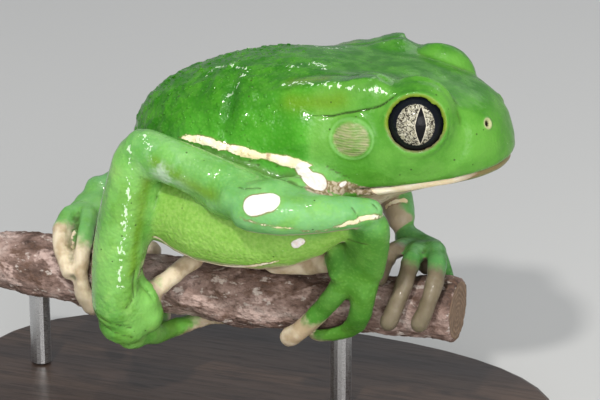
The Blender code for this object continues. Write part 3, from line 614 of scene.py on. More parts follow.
def shapeHead(flat, share, marks):
    x, y, z = flat.T
    push = np.zeros(len(x))
    # mouth, pressed along its line and round the snout, with a lip below it
    mouthOff = z - np.interp(x, *zip(*mouthLine))
    onMouth = smoothStep(x, 15.5, 18.5) * smoothStep(share["head"], 0.5, 0.9)
    push -= onMouth * mouthForm["depth"] * gauss(mouthOff, mouthForm["width"])
    push += onMouth * mouthForm["lowerRise"] * gauss(mouthOff + 0.75, 0.45)
    push += onMouth * mouthForm["upperRise"] * gauss(mouthOff - 0.8, 0.5)
    lipHalf = np.interp(x, (19.6, 20.6, 24.0, 28.0, 31.5, 33.4), (0.0, 0.52, 0.50, 0.42, 0.26, 0.0))
    marks["lip"] = np.abs(mouthOff + 0.10 + lipHalf) - lipHalf
    marks["lip"] += 4.0 * (1.0 - onMouth) + 3.0 * (lipHalf < 0.01)
    # the mouth's line, also painted dark as shade in its groove
    marks["mouth"] = np.abs(mouthOff) + 4.0 * (1.0 - onMouth)
    marks["lipBrown"] = onMouth * smoothStep(x, 29.0, 33.5) * gauss(mouthOff + 0.30, 0.6)
    marks["chin"] = smoothStep(-mouthOff, 0.3, 1.1)
    # fold from the eye over the ear drum
    off, along = offPath(flat, foldPath)
    onFold = smoothStep(along, 0.0, 0.06) * (1 - smoothStep(along, 0.60, 0.86))
    push -= foldForm["depth"] * onFold * gauss(off, foldForm["width"])
    # the fold's line, also painted dark as shade in its crease
    marks["fold"] = off / np.maximum(onFold, 0.15) + 3.0 * (onFold < 0.02)
    off, along = offPath(flat, glandPath)
    onGland = np.sin(np.pi * np.clip(along, 0.0, 1.0)) ** 0.5
    push -= glandForm["depth"] * onGland * gauss(off, glandForm["width"])
    # painted shade along the crease at the gland's top edge
    marks["glandCreaseShade"] = onGland * gauss(off, 0.26)
    # ear drum in its ring
    ear = np.hypot(x - earForm["centre"][0], (z - earForm["centre"][2]) * 1.05) / earForm["radius"]
    onEar = smoothStep(y, 8.0, 9.5) * smoothStep(share["head"], 0.4, 0.8)
    for at, width, rise in earForm["rings"]:
        push += onEar * rise * gauss(ear - at, width)
    marks["ear"] = ear + 3.0 * (1.0 - onEar)
    # nostrils: a pit in a raised rim
    nearest = flat[np.argmin(np.linalg.norm(flat - np.array(nostrilForm["place"]), axis=1))]
    nostril = np.linalg.norm((flat - nearest) * np.array((1.25, 1.0, 1.0)), axis=1)
    push += nostrilForm["rimRise"] * gauss(nostril - nostrilForm["rim"], 0.25)
    push -= nostrilForm["depth"] * (1 - smoothStep(nostril, 0.16, 0.56))
    # the nostril's pit, painted near black as its shade
    marks["nostril"] = nostril
    return push


def shapeTrunk(flat, share, marks):
    y = flat[:, 1]
    push = np.zeros(len(y))
    onTrunk = smoothStep(share["trunk"] + share["head"], 0.5, 0.9)
    off, along = offPath(flat, groovePath)
    onGroove = np.sin(np.pi * np.clip(along, 0.04, 0.96)) ** 0.6 * onTrunk
    push -= onGroove * grooveForm["depth"] * gauss(off, grooveForm["width"])
    push += onGroove * grooveForm["edgeRise"] * gauss(off - 2.1, grooveForm["width"])
    # painted shade along the groove
    marks["grooveShade"] = onGroove * gauss(off, 1.0)
    off, along = offPath(flat, stripe["path"])
    steps = np.linalg.norm(np.diff(np.array(stripe["path"]), axis=0), axis=1)
    shares = np.concatenate([[0.0], np.cumsum(steps)]) / steps.sum()
    half = np.interp(along, shares, stripe["half"])
    marks["stripe"] = off - half + 3.0 * (1.0 - onTrunk)
    marks["seam"] = np.min([np.abs(along - s) for s in stripe["seams"]], axis=0) * steps.sum()
    push += raisedForm["stripe"] * onTrunk * (1 - smoothStep(off / np.maximum(half, 0.2), 0.55, 1.25))
    return push


def markLimbs(places, normals, side, share, marks):
    push = np.zeros(len(places))
    spots = np.full(len(places), 6.0)
    for path, radius in spotList:
        spots = np.minimum(spots, offPath(places, path)[0] - radius)
    push += raisedForm["spots"] * (1 - smoothStep(spots, -0.45, 0.1))
    marks["spots"] = spots
    marks["pink"] = widest(gauss(offPath(places, path)[0], 1.15) for path in pinkPaths)
    # the heel's web, pale with a painted highlight
    marks["heelHighlight"] = gauss(offPath(places, heelHighlight["path"])[0], heelHighlight["reach"])
    fringe = np.full(len(places), 6.0)
    for path, half in fringes:
        off, along = offPath(places, path)
        fringe = np.minimum(fringe, off - np.interp(along, np.linspace(0, 1, len(half)), half))
    marks["fringe"] = fringe
    # painted shade in the creases and in the gaps between toes
    marks["cut"] = np.zeros(len(places))
    for spot, reach, depth in presses:
        push -= depth * gauss(np.linalg.norm(places - np.array(spot), axis=1), reach)
    for path, depth, width in partings:
        off, _ = alongPath(places, path)
        push -= depth * gauss(off, width * 2.0)
        marks["cut"] = np.maximum(marks["cut"], 1.6 * gauss(off, width * 1.6))
    for path, depth, width in creases:
        off, _ = offPath(places, path)
        push -= depth * gauss(off, width)
        marks["cut"] = np.maximum(marks["cut"], gauss(off, width * 0.9))
    pale = np.full(len(places), -6.0)
    near = np.full(len(places), 9.0)
    for path, start in digits:
        off, along = alongPath(places, roundBranch(path))
        nearer = off < near
        near = np.where(nearer, off, near)
        pale = np.where(nearer, (along - start) * 9.0, pale)
        knuckles = gauss(along - 0.62, 0.05) + gauss(along - 0.40, 0.05)
        push += raisedForm["knuckles"] * gauss(off - 1.1, 0.5) * knuckles
    inner = normals @ np.array([0.0, 0.0, -0.64]) - side * normals[:, 1] * 0.77
    limb = smoothStep(1.0 - share["trunk"] - share["head"], 0.4, 0.8)
    marks["pale"] = np.where((near < 2.6) & (share["paw"] > 0.3), pale + 1.2 * inner, -6.0)
    arms = share["forearm"] + share["upperArm"]
    marks["inner"] = limb * (inner * (1.0 + 0.9 * arms) + (0.45 + 0.4 * (side > 0)) * arms)
    return push


def markParts(places, normals, flat, side, share, edges, marks):  # and lumps pushed out of the back
    x, y, z = flat.T
    marks["lidLow"] = smoothStep(eyeForm["centre"][2] + 0.3 - z, 0.0, 2.2)
    marks["leaf"] = share["thigh"]
    marks["face"] = share["head"]
    marks["limb"] = 1.0 - share["head"] - share["trunk"]
    below = smoothStep(-normals[:, 2], 0.1, 0.65)
    marks["under"] = share["trunk"] * below + share["head"] * below * marks.pop("chin")
    marks["under"] += share["thigh"] * smoothStep(-normals[:, 2], 0.35, 1.0)
    above = share["trunk"] * smoothStep(normals[:, 2], 0.25, 0.80)
    above += share["head"] * smoothStep(normals[:, 2], 0.60, 1.0)
    marks["deep"] = np.maximum(share["trunk"] * smoothStep(-x, 2.0, 10.0), above)
    marks["flank"] = share["trunk"]
    # painted highlights: pale flecks along these paths, standing for glints on wet skin
    marks["paintedGlints"] = widest(gauss(offPath(flat, path)[0], 0.62) for path in glintPaths)
    # a bluish tint: painted sheen on the arms and shank, painted shade on the far paw and tarsus
    sheenAndShadeTint = share["forearm"] + 0.6 * share["upperArm"] + 0.45 * share["shank"]
    sheenAndShadeTint += (0.6 * share["paw"] + share["tarsus"]) * (side > 0)
    marks["sheenAndShadeTint"] = averaged(np.clip(sheenAndShadeTint, 0, 1)[:, None], edges, 40)[:, 0]
    # painted shade over the hands, strongest on the far one
    marks["hand"] = share["paw"] * smoothStep(x, 4.0, 10.0) * (0.55 + 0.45 * (side > 0))
    # painted shade: the hollower the skin, the darker it is painted
    hollow = np.einsum("ij,ij->i", averaged(places, edges, 5) - places, normals)
    marks["hollowShade"] = np.clip(hollow * 8.0, -1.0, 2.0)
    marks["olive"] = widest(gauss(offPath(flat, path)[0], reach) for path, reach in oliveMarks)
    gland = gauss(alongPath(flat, ((9.0, 10.0, 53.6), (16.0, 9.4, 54.8), (21.0, 8.8, 55.6)))[0], 3.0)
    marks["wet"] = np.clip(gland + sum(share[part] * much for part, much in wetParts.items()), 0, 1)
    marks["grainy"] = np.clip(sum(share[part] * much for part, much in grainyParts.items()), 0, 1.2)
    warty = share["trunk"] * smoothStep(-x, -10.0, -3.0) * smoothStep(z, 40.0, 47.0)
    lumps = np.array([noise.noise(Vector(p) * 0.75) for p in places])
    lumps += 0.6 * np.array([noise.noise(Vector(p) * 1.5 + Vector((7, 3, 1))) for p in places])
    marks["warty"] = warty
    return (lumpForm["back"] * warty + lumpForm["elsewhere"] * (1 - share["head"])) * np.maximum(lumps, 0.0)


def makeSkin(material):
    skin, sources = gatherFlesh()
    setPlaces(skin, relaxed(placesOf(skin), edgesOf(skin), skinForm["rounds"]))
    refine(skin, fineZone(placesOf(skin)))
    edges = edgesOf(skin)
    places = placesOf(skin)
    for turn in (-1, 1):
        near = np.linalg.norm(places - np.array(eyeFrame(turn)[0]), axis=1)
        places[:, 0] += eyeForm["shift"] * (1.0 - smoothStep(near, 4.5, 8.5))
    lids = lidReach(places)
    soften = smoothStep(lids, 0.35, 1.1) * (1 - smoothStep(lids, 3.4, 4.8))
    places = places + (averaged(places, edges, 24) - places) * soften[:, None]
    places = tucked(foldFilled(skin, places, edges))
    places = relaxed(places, edges, 4)
    setPlaces(skin, places)
    normals = normalsOf(skin)
    places = places - normals * skinForm["draw"]
    print("skin: melted,", len(places), "points")

    flat = straightened(places)
    flat[:, 1] = np.abs(flat[:, 1])
    share = partShares(places, edges, sources)
    side = np.where(share["left"] > 0.5, 1.0, -1.0)
    marks = {}
    push = shapeHead(flat, share, marks) + shapeTrunk(flat, share, marks)
    push += markLimbs(places, normals, side, share, marks)

    marks["lid"] = lids
    push += markParts(places, normals, flat, side, share, edges, marks)

    setPlaces(skin, places + normals * push[:, None])
    for name, values in marks.items():
        layer = skin.attributes.new(name, "FLOAT", "POINT")
        layer.data.foreach_set("value", np.asarray(values, dtype=np.float32))
    skin.materials.clear()
    skin.materials.append(material)
    skin.shade_smooth()
    made = bpy.data.objects.new("skin", skin)
    bpy.context.collection.objects.link(made)
    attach(made, "root")
    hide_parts(*fleshNodes)
    print("skin: shaped and marked")
    return made


# Skin colours: single ones, and pairs that are mixed in patches.
skinTones = {
    "limb": ((0.105, 0.320, 0.048), (0.185, 0.440, 0.092)), "limbLight": (0.245, 0.490, 0.108),
    "limbDark": (0.107, 0.279, 0.025), "flank": ((0.037, 0.221, 0.007), (0.070, 0.312, 0.021)),
    "face": ((0.067, 0.246, 0.021), (0.111, 0.316, 0.041)),
    "deep": ((0.018, 0.135, 0.002), (0.053, 0.226, 0.011)),
    "hand": ((0.015, 0.106, 0.002), (0.041, 0.203, 0.009)),
    "leaf": ((0.205, 0.418, 0.061), (0.271, 0.484, 0.094)),
    "sheenAndShadeTint": (0.164, 0.410, 0.172), "olive": (0.123, 0.246, 0.008), "dots": (0.246, 0.508, 0.098),
    "heelHighlight": (0.426, 0.558, 0.410), "paintedGlints": (0.66, 0.84, 0.60), "specks": (0.03, 0.05, 0.01),
    "drum": ((0.20, 0.28, 0.085), (0.36, 0.34, 0.19)), "drumRing": (0.23, 0.48, 0.15),
    "lids": ((0.20, 0.25, 0.020), (0.23, 0.15, 0.10)), "hollowShade": (0.045, 0.100, 0.012),
    "grooveShade": (0.02, 0.13, 0.008), "glandCreaseShade": (0.03, 0.12, 0.01), "fold": (0.025, 0.05, 0.008),
    "cream": ((0.46, 0.35, 0.22), (0.72, 0.62, 0.45)),
    # the far hand's cream and tan, darkened as painted shade
    "farCreamInShade": ((0.060, 0.048, 0.028), (0.185, 0.150, 0.100)),
    "tan": ((0.30, 0.25, 0.17), (0.56, 0.46, 0.33)), "farTanInShade": (0.13, 0.110, 0.070),
    "pink": ((0.24, 0.14, 0.09), (0.56, 0.42, 0.34)), "brownEdge": (0.22, 0.11, 0.05),
    "ivory": ((0.86, 0.70, 0.45), (0.95, 0.87, 0.68)), "white": ((0.76, 0.67, 0.62), (0.84, 0.81, 0.78)),
    "seam": (0.24, 0.12, 0.05), "cut": (0.050, 0.075, 0.020), "lipBrown": (0.26, 0.15, 0.08),
    "mouth": (0.04, 0.04, 0.015), "nostrilRim": (0.50, 0.46, 0.27), "nostril": (0.012, 0.008, 0.005),
}


def skinMaterial():
    made, tree, shader = newMaterial("waxy skin", {
        "Specular IOR Level": 0.12, "Coat Roughness": 0.08, "Coat IOR": 1.4, "Subsurface Weight": 0.08,
        "Subsurface Scale": 0.0010, "Subsurface Radius": (0.5, 1.0, 0.2)})

    def on(name, share=None):
        return mark(tree, name) if share is None else times(tree, mark(tree, name), share)

    def mixed(amount, name):
        return blend(tree, amount, *skinTones[name])

    def paint(amount, tone):  # lays a tone over the colour so far
        nonlocal colour
        colour = blend(tree, amount, colour, skinTones[tone] if isinstance(tone, str) else tone)

    place = objectPlace(tree)
    wide = noiseOf(tree, place, 8.0, 3.0)
    middle = noiseOf(tree, place, 2.4, 3.0)
    fine = noiseOf(tree, place, 0.5, 2.0)
    wander = times(tree, plus(tree, noiseOf(tree, place, 1.0, 3.0), -0.5), 0.9)
    dome = maths(tree, "SUBTRACT", 1.0, cellsOf(tree, place, 0.52))
    # greens
    colour = mixed(ease(tree, wide, 0.36, 0.64), "limb")
    paint(ease(tree, middle, 0.48, 0.75, 0.0, 0.7), "limbLight")
    patch = times(tree, on("limb"), ease(tree, noiseOf(tree, place, 5.0, 3.0, 0.6), 0.52, 0.62))
    paint(times(tree, patch, 0.5), "limbDark")
    paint(on("flank"), mixed(ease(tree, wide, 0.36, 0.64), "flank"))
    paint(on("face"), mixed(ease(tree, plus(tree, wide, times(tree, middle, 0.4)), 0.55, 0.85), "face"))
    paint(on("deep", 0.85), mixed(ease(tree, middle, 0.4, 0.65), "deep"))
    # painted shade: both hands darkened, the far one most
    paint(on("hand", 0.95), mixed(middle, "hand"))
    # bluish tint: painted sheen on the arms and shank, painted shade on the far paw and tarsus
    sheenAndShadeTint = times(tree, on("sheenAndShadeTint"), ease(tree, middle, 0.30, 0.6, 0.3))
    paint(times(tree, sheenAndShadeTint, 0.7), "sheenAndShadeTint")
    paint(on("leaf", 0.9), mixed(ease(tree, fine, 0.35, 0.65), "leaf"))
    paint(on("olive", 0.75), "olive")
    dots = plus(tree, on("face", -0.14), on("flank", -0.10), 0.20)
    paint(times(tree, ease(tree, dome, 0.45, 0.95), dots), "dots")
    # painted highlight: a pale bluish patch on the heel's web
    heelHighlightAmount = times(tree, on("heelHighlight"), ease(tree, plus(tree, middle, times(tree, wander, 0.3)), 0.38, 0.60))
    paint(times(tree, heelHighlightAmount, 0.8), "heelHighlight")
    # painted highlights: pale flecks near the glint paths, standing for glints on wet skin
    flake = noiseOf(tree, objectPlace(tree, (1.0, 1.0, 0.66)), 0.50, 2.0, 0.6)
    glintFlecks = ease(tree, plus(tree, flake, on("paintedGlints", 0.26), times(tree, middle, 0.25)), 0.895, 0.945)
    paint(times(tree, glintFlecks, 0.85), "paintedGlints")
    speck = times(tree, ease(tree, cellsOf(tree, place, 1.7), 0.105, 0.06), ease(tree, wide, 0.46, 0.56))
    paint(times(tree, speck, 0.8), "specks")
    # ear drum
    ear = on("ear")
    streaks = noiseOf(tree, objectPlace(tree, (0.35, 1.0, 1.6)), 0.5, 3.0)
    earLine = times(tree, ease(tree, ear, 0.90, 0.99), ease(tree, ear, 1.10, 1.01))
    paint(times(tree, earLine, 0.4), "drumRing")
    onDrum = ease(tree, plus(tree, ear, times(tree, wander, 0.16)), 0.96, 0.78)
    drumTone = mixed(ease(tree, streaks, 0.35, 0.65), "drum")
    paint(times(tree, onDrum, ease(tree, middle, 0.2, 0.6, 0.5), 0.9), drumTone)
    # lids
    low = on("lidLow")
    lid = plus(tree, on("lid"), times(tree, wander, 0.25), times(tree, low, 0.35))
    paint(ease(tree, lid, 0.52, 0.0, 0.0, 0.75), mixed(low, "lids"))
    # painted shade in creases, hollows, the groove and the folds
    paint(ease(tree, on("hollowShade"), 0.25, 1.4, 0.0, 0.65), "hollowShade")
    paint(on("grooveShade", 0.6), "grooveShade")
    paint(on("glandCreaseShade", 0.6), "glandCreaseShade")
    paint(ease(tree, on("fold"), 0.17, 0.05, 0.0, 0.85), "fold")
    # pale digits, pale insides of the limbs and the pale underside, with the far hand's cream and tan
    # darkened as painted shade
    farHandShade = ease(tree, on("hand"), 0.6, 0.95, 0.0, 0.92)
    cream = blend(tree, farHandShade, mixed(ease(tree, middle, 0.35, 0.65), "cream"), mixed(middle, "farCreamInShade"))
    pale = plus(tree, on("pale"), times(tree, wander, 1.6))
    paint(ease(tree, pale, -0.3, 1.1), cream)
    inner = plus(tree, on("inner"), times(tree, wander, 0.3))
    paint(ease(tree, inner, 0.45, 0.85), blend(tree, farHandShade, mixed(middle, "tan"), skinTones["farTanInShade"]))
    under = plus(tree, on("under"), times(tree, wander, 0.2))
    paint(ease(tree, under, 0.55, 0.95), cream)
    # stripe, lip, fringes and spots, each with a brown edge
    pink = ease(tree, plus(tree, on("pink"), times(tree, wander, 0.9)), 0.45, 0.70)
    paint(times(tree, pink, 0.85), mixed(ease(tree, fine, 0.4, 0.6), "pink"))
    stripeEdge = plus(tree, on("stripe"), times(tree, wander, 0.45))
    lip = plus(tree, on("lip"), times(tree, wander, 0.15))
    spots = plus(tree, on("spots"), times(tree, wander, 0.35))
    fringe = plus(tree, on("fringe"), times(tree, wander, 0.9))
    bands = maths(tree, "MINIMUM", stripeEdge, maths(tree, "MINIMUM", lip, fringe))
    rimmed = ease(tree, maths(tree, "MINIMUM", bands, spots), 0.26, 0.08)
    paint(times(tree, rimmed, ease(tree, middle, 0.40, 0.62, 0.25), 0.65), "brownEdge")
    paint(ease(tree, bands, 0.10, -0.10), mixed(ease(tree, middle, 0.35, 0.65), "ivory"))
    paint(ease(tree, spots, 0.05, -0.12), mixed(ease(tree, fine, 0.3, 0.7), "white"))
    seam = ease(tree, plus(tree, on("seam"), times(tree, wander, 0.5)), 0.40, 0.0)
    paint(times(tree, seam, ease(tree, stripeEdge, 0.1, -0.1), 0.7), "seam")
    # painted shade in the creases and between the toes
    paint(times(tree, ease(tree, on("cut"), 0.35, 0.95), 0.65), "cut")
    # mouth and nostrils, with painted shade in the mouth's groove and in the nostrils' pits
    paint(on("lipBrown", 0.8), "lipBrown")
    paint(ease(tree, on("mouth"), 0.16, 0.05, 0.0, 0.9), "mouth")
    nostril = on("nostril")
    paint(ease(tree, nostril, 0.95, 0.62, 0.0, 0.75), "nostrilRim")
    paint(ease(tree, nostril, 0.48, 0.36), "nostril")
    tree.links.new(colour, shader.inputs["Base Color"])
    # gloss and relief
    wet = on("wet")
    tree.links.new(ease(tree, wet, 0.0, 1.0, 0.14, 0.80), shader.inputs["Coat Weight"])
    gloss = plus(tree, middle, times(tree, wet, 0.3))
    tree.links.new(ease(tree, gloss, 0.35, 0.85, 0.44, 0.24), shader.inputs["Roughness"])
    high = times(tree, axesOf(tree, place)["Z"], 2 * math.pi / (0.36 * mm))
    ridges = maths(tree, "SINE", plus(tree, high, times(tree, middle, 7.0)))
    bumps(tree, shader, ((noiseOf(tree, place, 1.3, 2.0), 0.16),), "Coat Normal")
    bumps(tree, shader, (
        (times(tree, ridges, onDrum), 0.020),
        (ease(tree, on("mouth"), 0.0, 0.22), 0.14),
        (ease(tree, on("fold"), 0.0, 0.22), 0.12),
        (times(tree, middle, plus(tree, on("warty"), 0.15)), 0.30),
        (times(tree, noiseOf(tree, place, 1.5, 1.5), wet), 0.26),
        (times(tree, dome, on("grainy")), 0.085),
        (fine, 0.05),
    ))
    return made


# Warts: small domes that Geometry Nodes scatter over the skin

wartSizes = {"Spacing": 0.66 * mm, "Density": 1200000.0, "Smallest": 0.16 * mm, "Largest": 0.34 * mm,
             "Seed": 5}


def scatterTree(name, factor, flatness, material):
    tree = bpy.data.node_groups.new(name, "GeometryNodeTree")
    face = tree.interface
    face.new_socket("Surface", in_out="INPUT", socket_type="NodeSocketGeometry")
    for label in ("Spacing", "Density", "Smallest", "Largest"):
        face.new_socket(label, in_out="INPUT", socket_type="NodeSocketFloat")
    face.new_socket("Seed", in_out="INPUT", socket_type="NodeSocketInt")
    face.new_socket("Bits", in_out="OUTPUT", socket_type="NodeSocketGeometry")
    given = tree.nodes.new("NodeGroupInput").outputs
    amount = addNode(tree, "GeometryNodeInputNamedAttribute", {"Name": factor})
    spread = addNode(tree, "GeometryNodeDistributePointsOnFaces", {
        "Mesh": given["Surface"], "Distance Min": given["Spacing"], "Density Max": given["Density"],
        "Density Factor": amount.outputs["Attribute"], "Seed": given["Seed"]}, distribute_method="POISSON")
    bit = addNode(tree, "GeometryNodeMeshUVSphere", {"Segments": 8, "Rings": 5})
    flat = addNode(tree, "GeometryNodeTransform", {
        "Geometry": bit.outputs["Mesh"], "Scale": (1.0, 1.0, flatness)})
    size = addNode(tree, "FunctionNodeRandomValue", {
        2: given["Smallest"], 3: given["Largest"], "Seed": given["Seed"]})
    place = addNode(tree, "GeometryNodeInstanceOnPoints", {
        "Points": spread.outputs["Points"], "Instance": flat.outputs["Geometry"],
        "Rotation": spread.outputs["Rotation"], "Scale": size.outputs[1]})
    smooth = addNode(tree, "GeometryNodeSetShadeSmooth", {"Geometry": place.outputs["Instances"]})
    real = addNode(tree, "GeometryNodeRealizeInstances", {"Geometry": smooth.outputs["Geometry"]})
    dressed = addNode(tree, "GeometryNodeSetMaterial", {
        "Geometry": real.outputs["Geometry"], "Material": material})
    addNode(tree, "NodeGroupOutput", {"Bits": dressed.outputs["Geometry"]})
    return tree


def scatter(name, surface, factor, flatness, material, sizes):
    tree = scatterTree(name, factor, flatness, material)
    carrier = bpy.data.objects.new(name + "_carrier", surface.data)
    bpy.context.collection.objects.link(carrier)
    step = carrier.modifiers.new(name, "NODES")
    step.node_group = tree
    for item in tree.interface.items_tree:
        if item.item_type == "SOCKET" and item.in_out == "INPUT" and item.name in sizes:
            step[item.identifier] = sizes[item.name]
    mesh = bpy.data.meshes.new_from_object(carrier.evaluated_get(bpy.context.evaluated_depsgraph_get()))
    bpy.data.objects.remove(carrier)
    made = bpy.data.objects.new(name, mesh)
    bpy.context.collection.objects.link(made)
    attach(made, "root")
    print(name + ":", len(mesh.polygons), "faces")
    return made


# Eyes

eyeLook = {"iris": 0.66, "narrow": 1.10, "pupilHigh": 0.59, "pupilWide": 0.165, "pupilAhead": 0.16,
           "rings": 44, "sides": 96, "proud": 0.06}


def makeEye(side, material):  # its map runs across its face towards the snout
    word = "right" if side < 0 else "left"
    centre, ahead = eyeFrame(side)
    across = Vector((0, 0, 1)).cross(ahead).normalized()
    up = ahead.cross(across)
    rings, sides, radius = eyeLook["rings"], eyeLook["sides"], eyeForm["radius"] + eyeLook["proud"]
    points, flat = [centre + ahead * radius * 1.03], [(0.0, 0.0)]
    for i in range(1, rings):
        polar = math.pi * i / rings
        spread = math.sin(polar)
        bulge = 1.0 + 0.03 * max(math.cos(polar), 0.0) ** 2
        for j in range(sides):
            turn = 2 * math.pi * j / sides
            points.append(centre + (ahead * math.cos(polar) * bulge + across * spread * math.cos(turn)
                                    + up * spread * math.sin(turn)) * radius)
            reach = spread if polar < math.pi / 2 else 2.0 - spread
            flat.append((reach * math.cos(turn), reach * math.sin(turn)))
    points.append(centre - ahead * radius)
    flat.append((2.0, 0.0))
    last = len(points) - 1
    faces = ringFaces(rings - 1, sides, 1)
    for j in range(sides):
        k = (j + 1) % sides
        faces += [(0, 1 + j, 1 + k), (last - sides + j, last, last - sides + k)]
    ball = outwards(meshObject("glossy_eye_" + word, points, faces, material))
    layer = ball.data.uv_layers.new(name="across")
    for loop in ball.data.loops:
        u, v = flat[loop.vertex_index]
        layer.data[loop.index].uv = (-side * u * 0.5 + 0.5, v * 0.5 + 0.5)
    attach(ball, "root")
    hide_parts("eye_" + word)
    return ball


def eyeMaterial():
    made, tree, shader = newMaterial("silver iris", {
        "Roughness": 0.4, "Coat Weight": 0.35, "Coat Roughness": 0.03, "Coat IOR": 1.32,
        "Specular IOR Level": 0.08})
    source = tree.nodes.new("ShaderNodeUVMap")
    source.uv_map = "across"
    mapping = addNode(tree, "ShaderNodeMapping", {
        "Vector": source.outputs["UV"], "Location": (-1.0, -1.0, 0.0), "Scale": (2.0, 2.0, 1.0)})
    flat = mapping.outputs["Vector"]
    u, v, _ = axesOf(tree, flat)
    reach = maths(tree, "SQRT", plus(tree, times(tree, u, u, eyeLook["narrow"] ** 2), times(tree, v, v)))
    wander = noiseOf(tree, flat, 1000.0 / 9.0, 3.0, 0.6)
    lines = noiseOf(tree, flat, 1000.0 / 7.5, 2.0, 0.75, 0.8)
    thread = ease(tree, maths(tree, "ABSOLUTE", plus(tree, lines, -0.5)), 0.030, 0.058)
    silver = blend(tree, ease(tree, wander, 0.35, 0.65), (0.29, 0.27, 0.185), (0.55, 0.525, 0.42))
    iris = blend(tree, thread, (0.025, 0.02, 0.015), silver)
    rim = plus(tree, reach, times(tree, plus(tree, wander, -0.5), 0.05))
    outside = ease(tree, rim, eyeLook["iris"] - 0.01, eyeLook["iris"] + 0.015)
    colour = blend(tree, outside, iris, (0.004, 0.005, 0.009))
    high = maths(tree, "DIVIDE", maths(tree, "ABSOLUTE", v), eyeLook["pupilHigh"])
    wide = times(tree, maths(tree, "SUBTRACT", 1.0, maths(tree, "POWER", high, 1.4)), eyeLook["pupilWide"])
    aside = maths(tree, "ABSOLUTE", plus(tree, u, -eyeLook["pupilAhead"]))
    slit = plus(tree, maths(tree, "SUBTRACT", aside, wide), times(tree, plus(tree, wander, -0.5), 0.03))
    inside = ease(tree, high, 1.04, 0.99)
    colour = blend(tree, times(tree, ease(tree, slit, 0.045, 0.02), inside, 0.75), colour, (0.80, 0.74, 0.58))
    colour = blend(tree, times(tree, ease(tree, slit, 0.02, 0.0), inside), colour, (0.003, 0.003, 0.004))
    tree.links.new(colour, shader.inputs["Base Color"])
    bumps(tree, shader, ((thread, 0.01),))
    return made


# Branch: bark with cut ends

def barkHeight(point):  # plates, cracks along the branch and grit, in millimetres
    plates = noise.fractal(Vector((point.x * 0.20, point.y * 0.38, point.z * 0.38)), 0.9, 2.1, 4)
    cracks = abs(noise.noise(Vector((point.x * 0.16 + 3, point.y * 0.6 + 9, point.z * 0.6 + 4))))
    grit = noise.fractal(point * 1.6, 0.8, 2.2, 3)
    return 0.75 * plates - 0.45 * max(0.0, 0.10 - cracks) / 0.10 + 0.30 * grit


def makeBranch(bark, cut):
    rings, sides = barkForm["rings"], barkForm["sides"]
    left, right = barkForm["left"], barkForm["right"]
    points, faces = [], ringFaces(rings + 1, sides)
    for i in range(rings + 1):
        x = left + (right - left) * i / rings
        bevel = 0.5 * max(0.0, 1.0 - min(x - left, right - x) / 0.7) ** 2
        for j in range(sides):
            turn = 2 * math.pi * j / sides
            height = barkForm["relief"] * (barkHeight(barkPoint(x, turn)) + 0.10)
            points.append(barkPoint(x, turn, height - bevel))
    capStart = len(faces)
    for x, ring in ((left, 0), (right, rings)):
        inner = [ring * sides + j for j in range(sides)]
        for share in (0.92, 0.6, 0.3):
            row = []
            for j in range(sides):
                spot = barkAxis(x).lerp(Vector(points[ring * sides + j]), share)
                spot.x += 0.10 * noise.noise(spot * 0.9)
                row.append(len(points))
                points.append(spot)
            for j in range(sides):
                k = (j + 1) % sides
                faces.append((inner[j], inner[k], row[k], row[j]))
            inner = row
        centre = len(points)
        points.append(barkAxis(x))
        for j in range(sides):
            faces.append((inner[j], inner[(j + 1) % sides], centre))
    branch = meshObject("bark_branch", points, faces, bark)
    branch.data.materials.append(cut)
    for face in branch.data.polygons[capStart:]:
        face.material_index = 1
    outwards(branch)
    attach(branch, "root")
    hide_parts("perch_branch")
    print("branch: done")
    return branch


barkTones = ((0.36, (0.055, 0.032, 0.024)), (0.46, (0.21, 0.135, 0.110)), (0.56, (0.34, 0.240, 0.205)),
             (0.70, (0.48, 0.39, 0.35)))


def barkMaterial():
    made, tree, shader = newMaterial("mottled bark", {"Specular IOR Level": 0.35})
    place = objectPlace(tree, (0.6, 1.0, 1.0))
    wide = noiseOf(tree, place, 5.5, 5.0, 0.62, 0.4)
    middle = noiseOf(tree, place, 1.9, 5.0, 0.68)
    fine = noiseOf(tree, place, 0.4, 3.0, 0.6)
    flakes = noiseOf(tree, place, 2.6, 3.0, 0.6)
    chips = noiseOf(tree, place, 1.4, 3.0, 0.6)
    colour = rampOf(tree, wide, barkTones)
    for value, low, high, most, tone in (
            (middle, 0.50, 0.62, 0.85, (0.120, 0.066, 0.044)), (flakes, 0.53, 0.63, 0.8, (0.58, 0.43, 0.38)),
            (chips, 0.58, 0.66, 0.7, (0.68, 0.60, 0.54)), (fine, 0.50, 0.72, 0.5, (0.05, 0.03, 0.02))):
        colour = blend(tree, ease(tree, value, low, high, 0.0, most), colour, tone)
    tree.links.new(colour, shader.inputs["Base Color"])
    tree.links.new(ease(tree, middle, 0.3, 0.7, 0.90, 0.6), shader.inputs["Roughness"])
    bumps(tree, shader, ((wide, 0.7), (middle, 0.6), (fine, 0.20)))
    return made


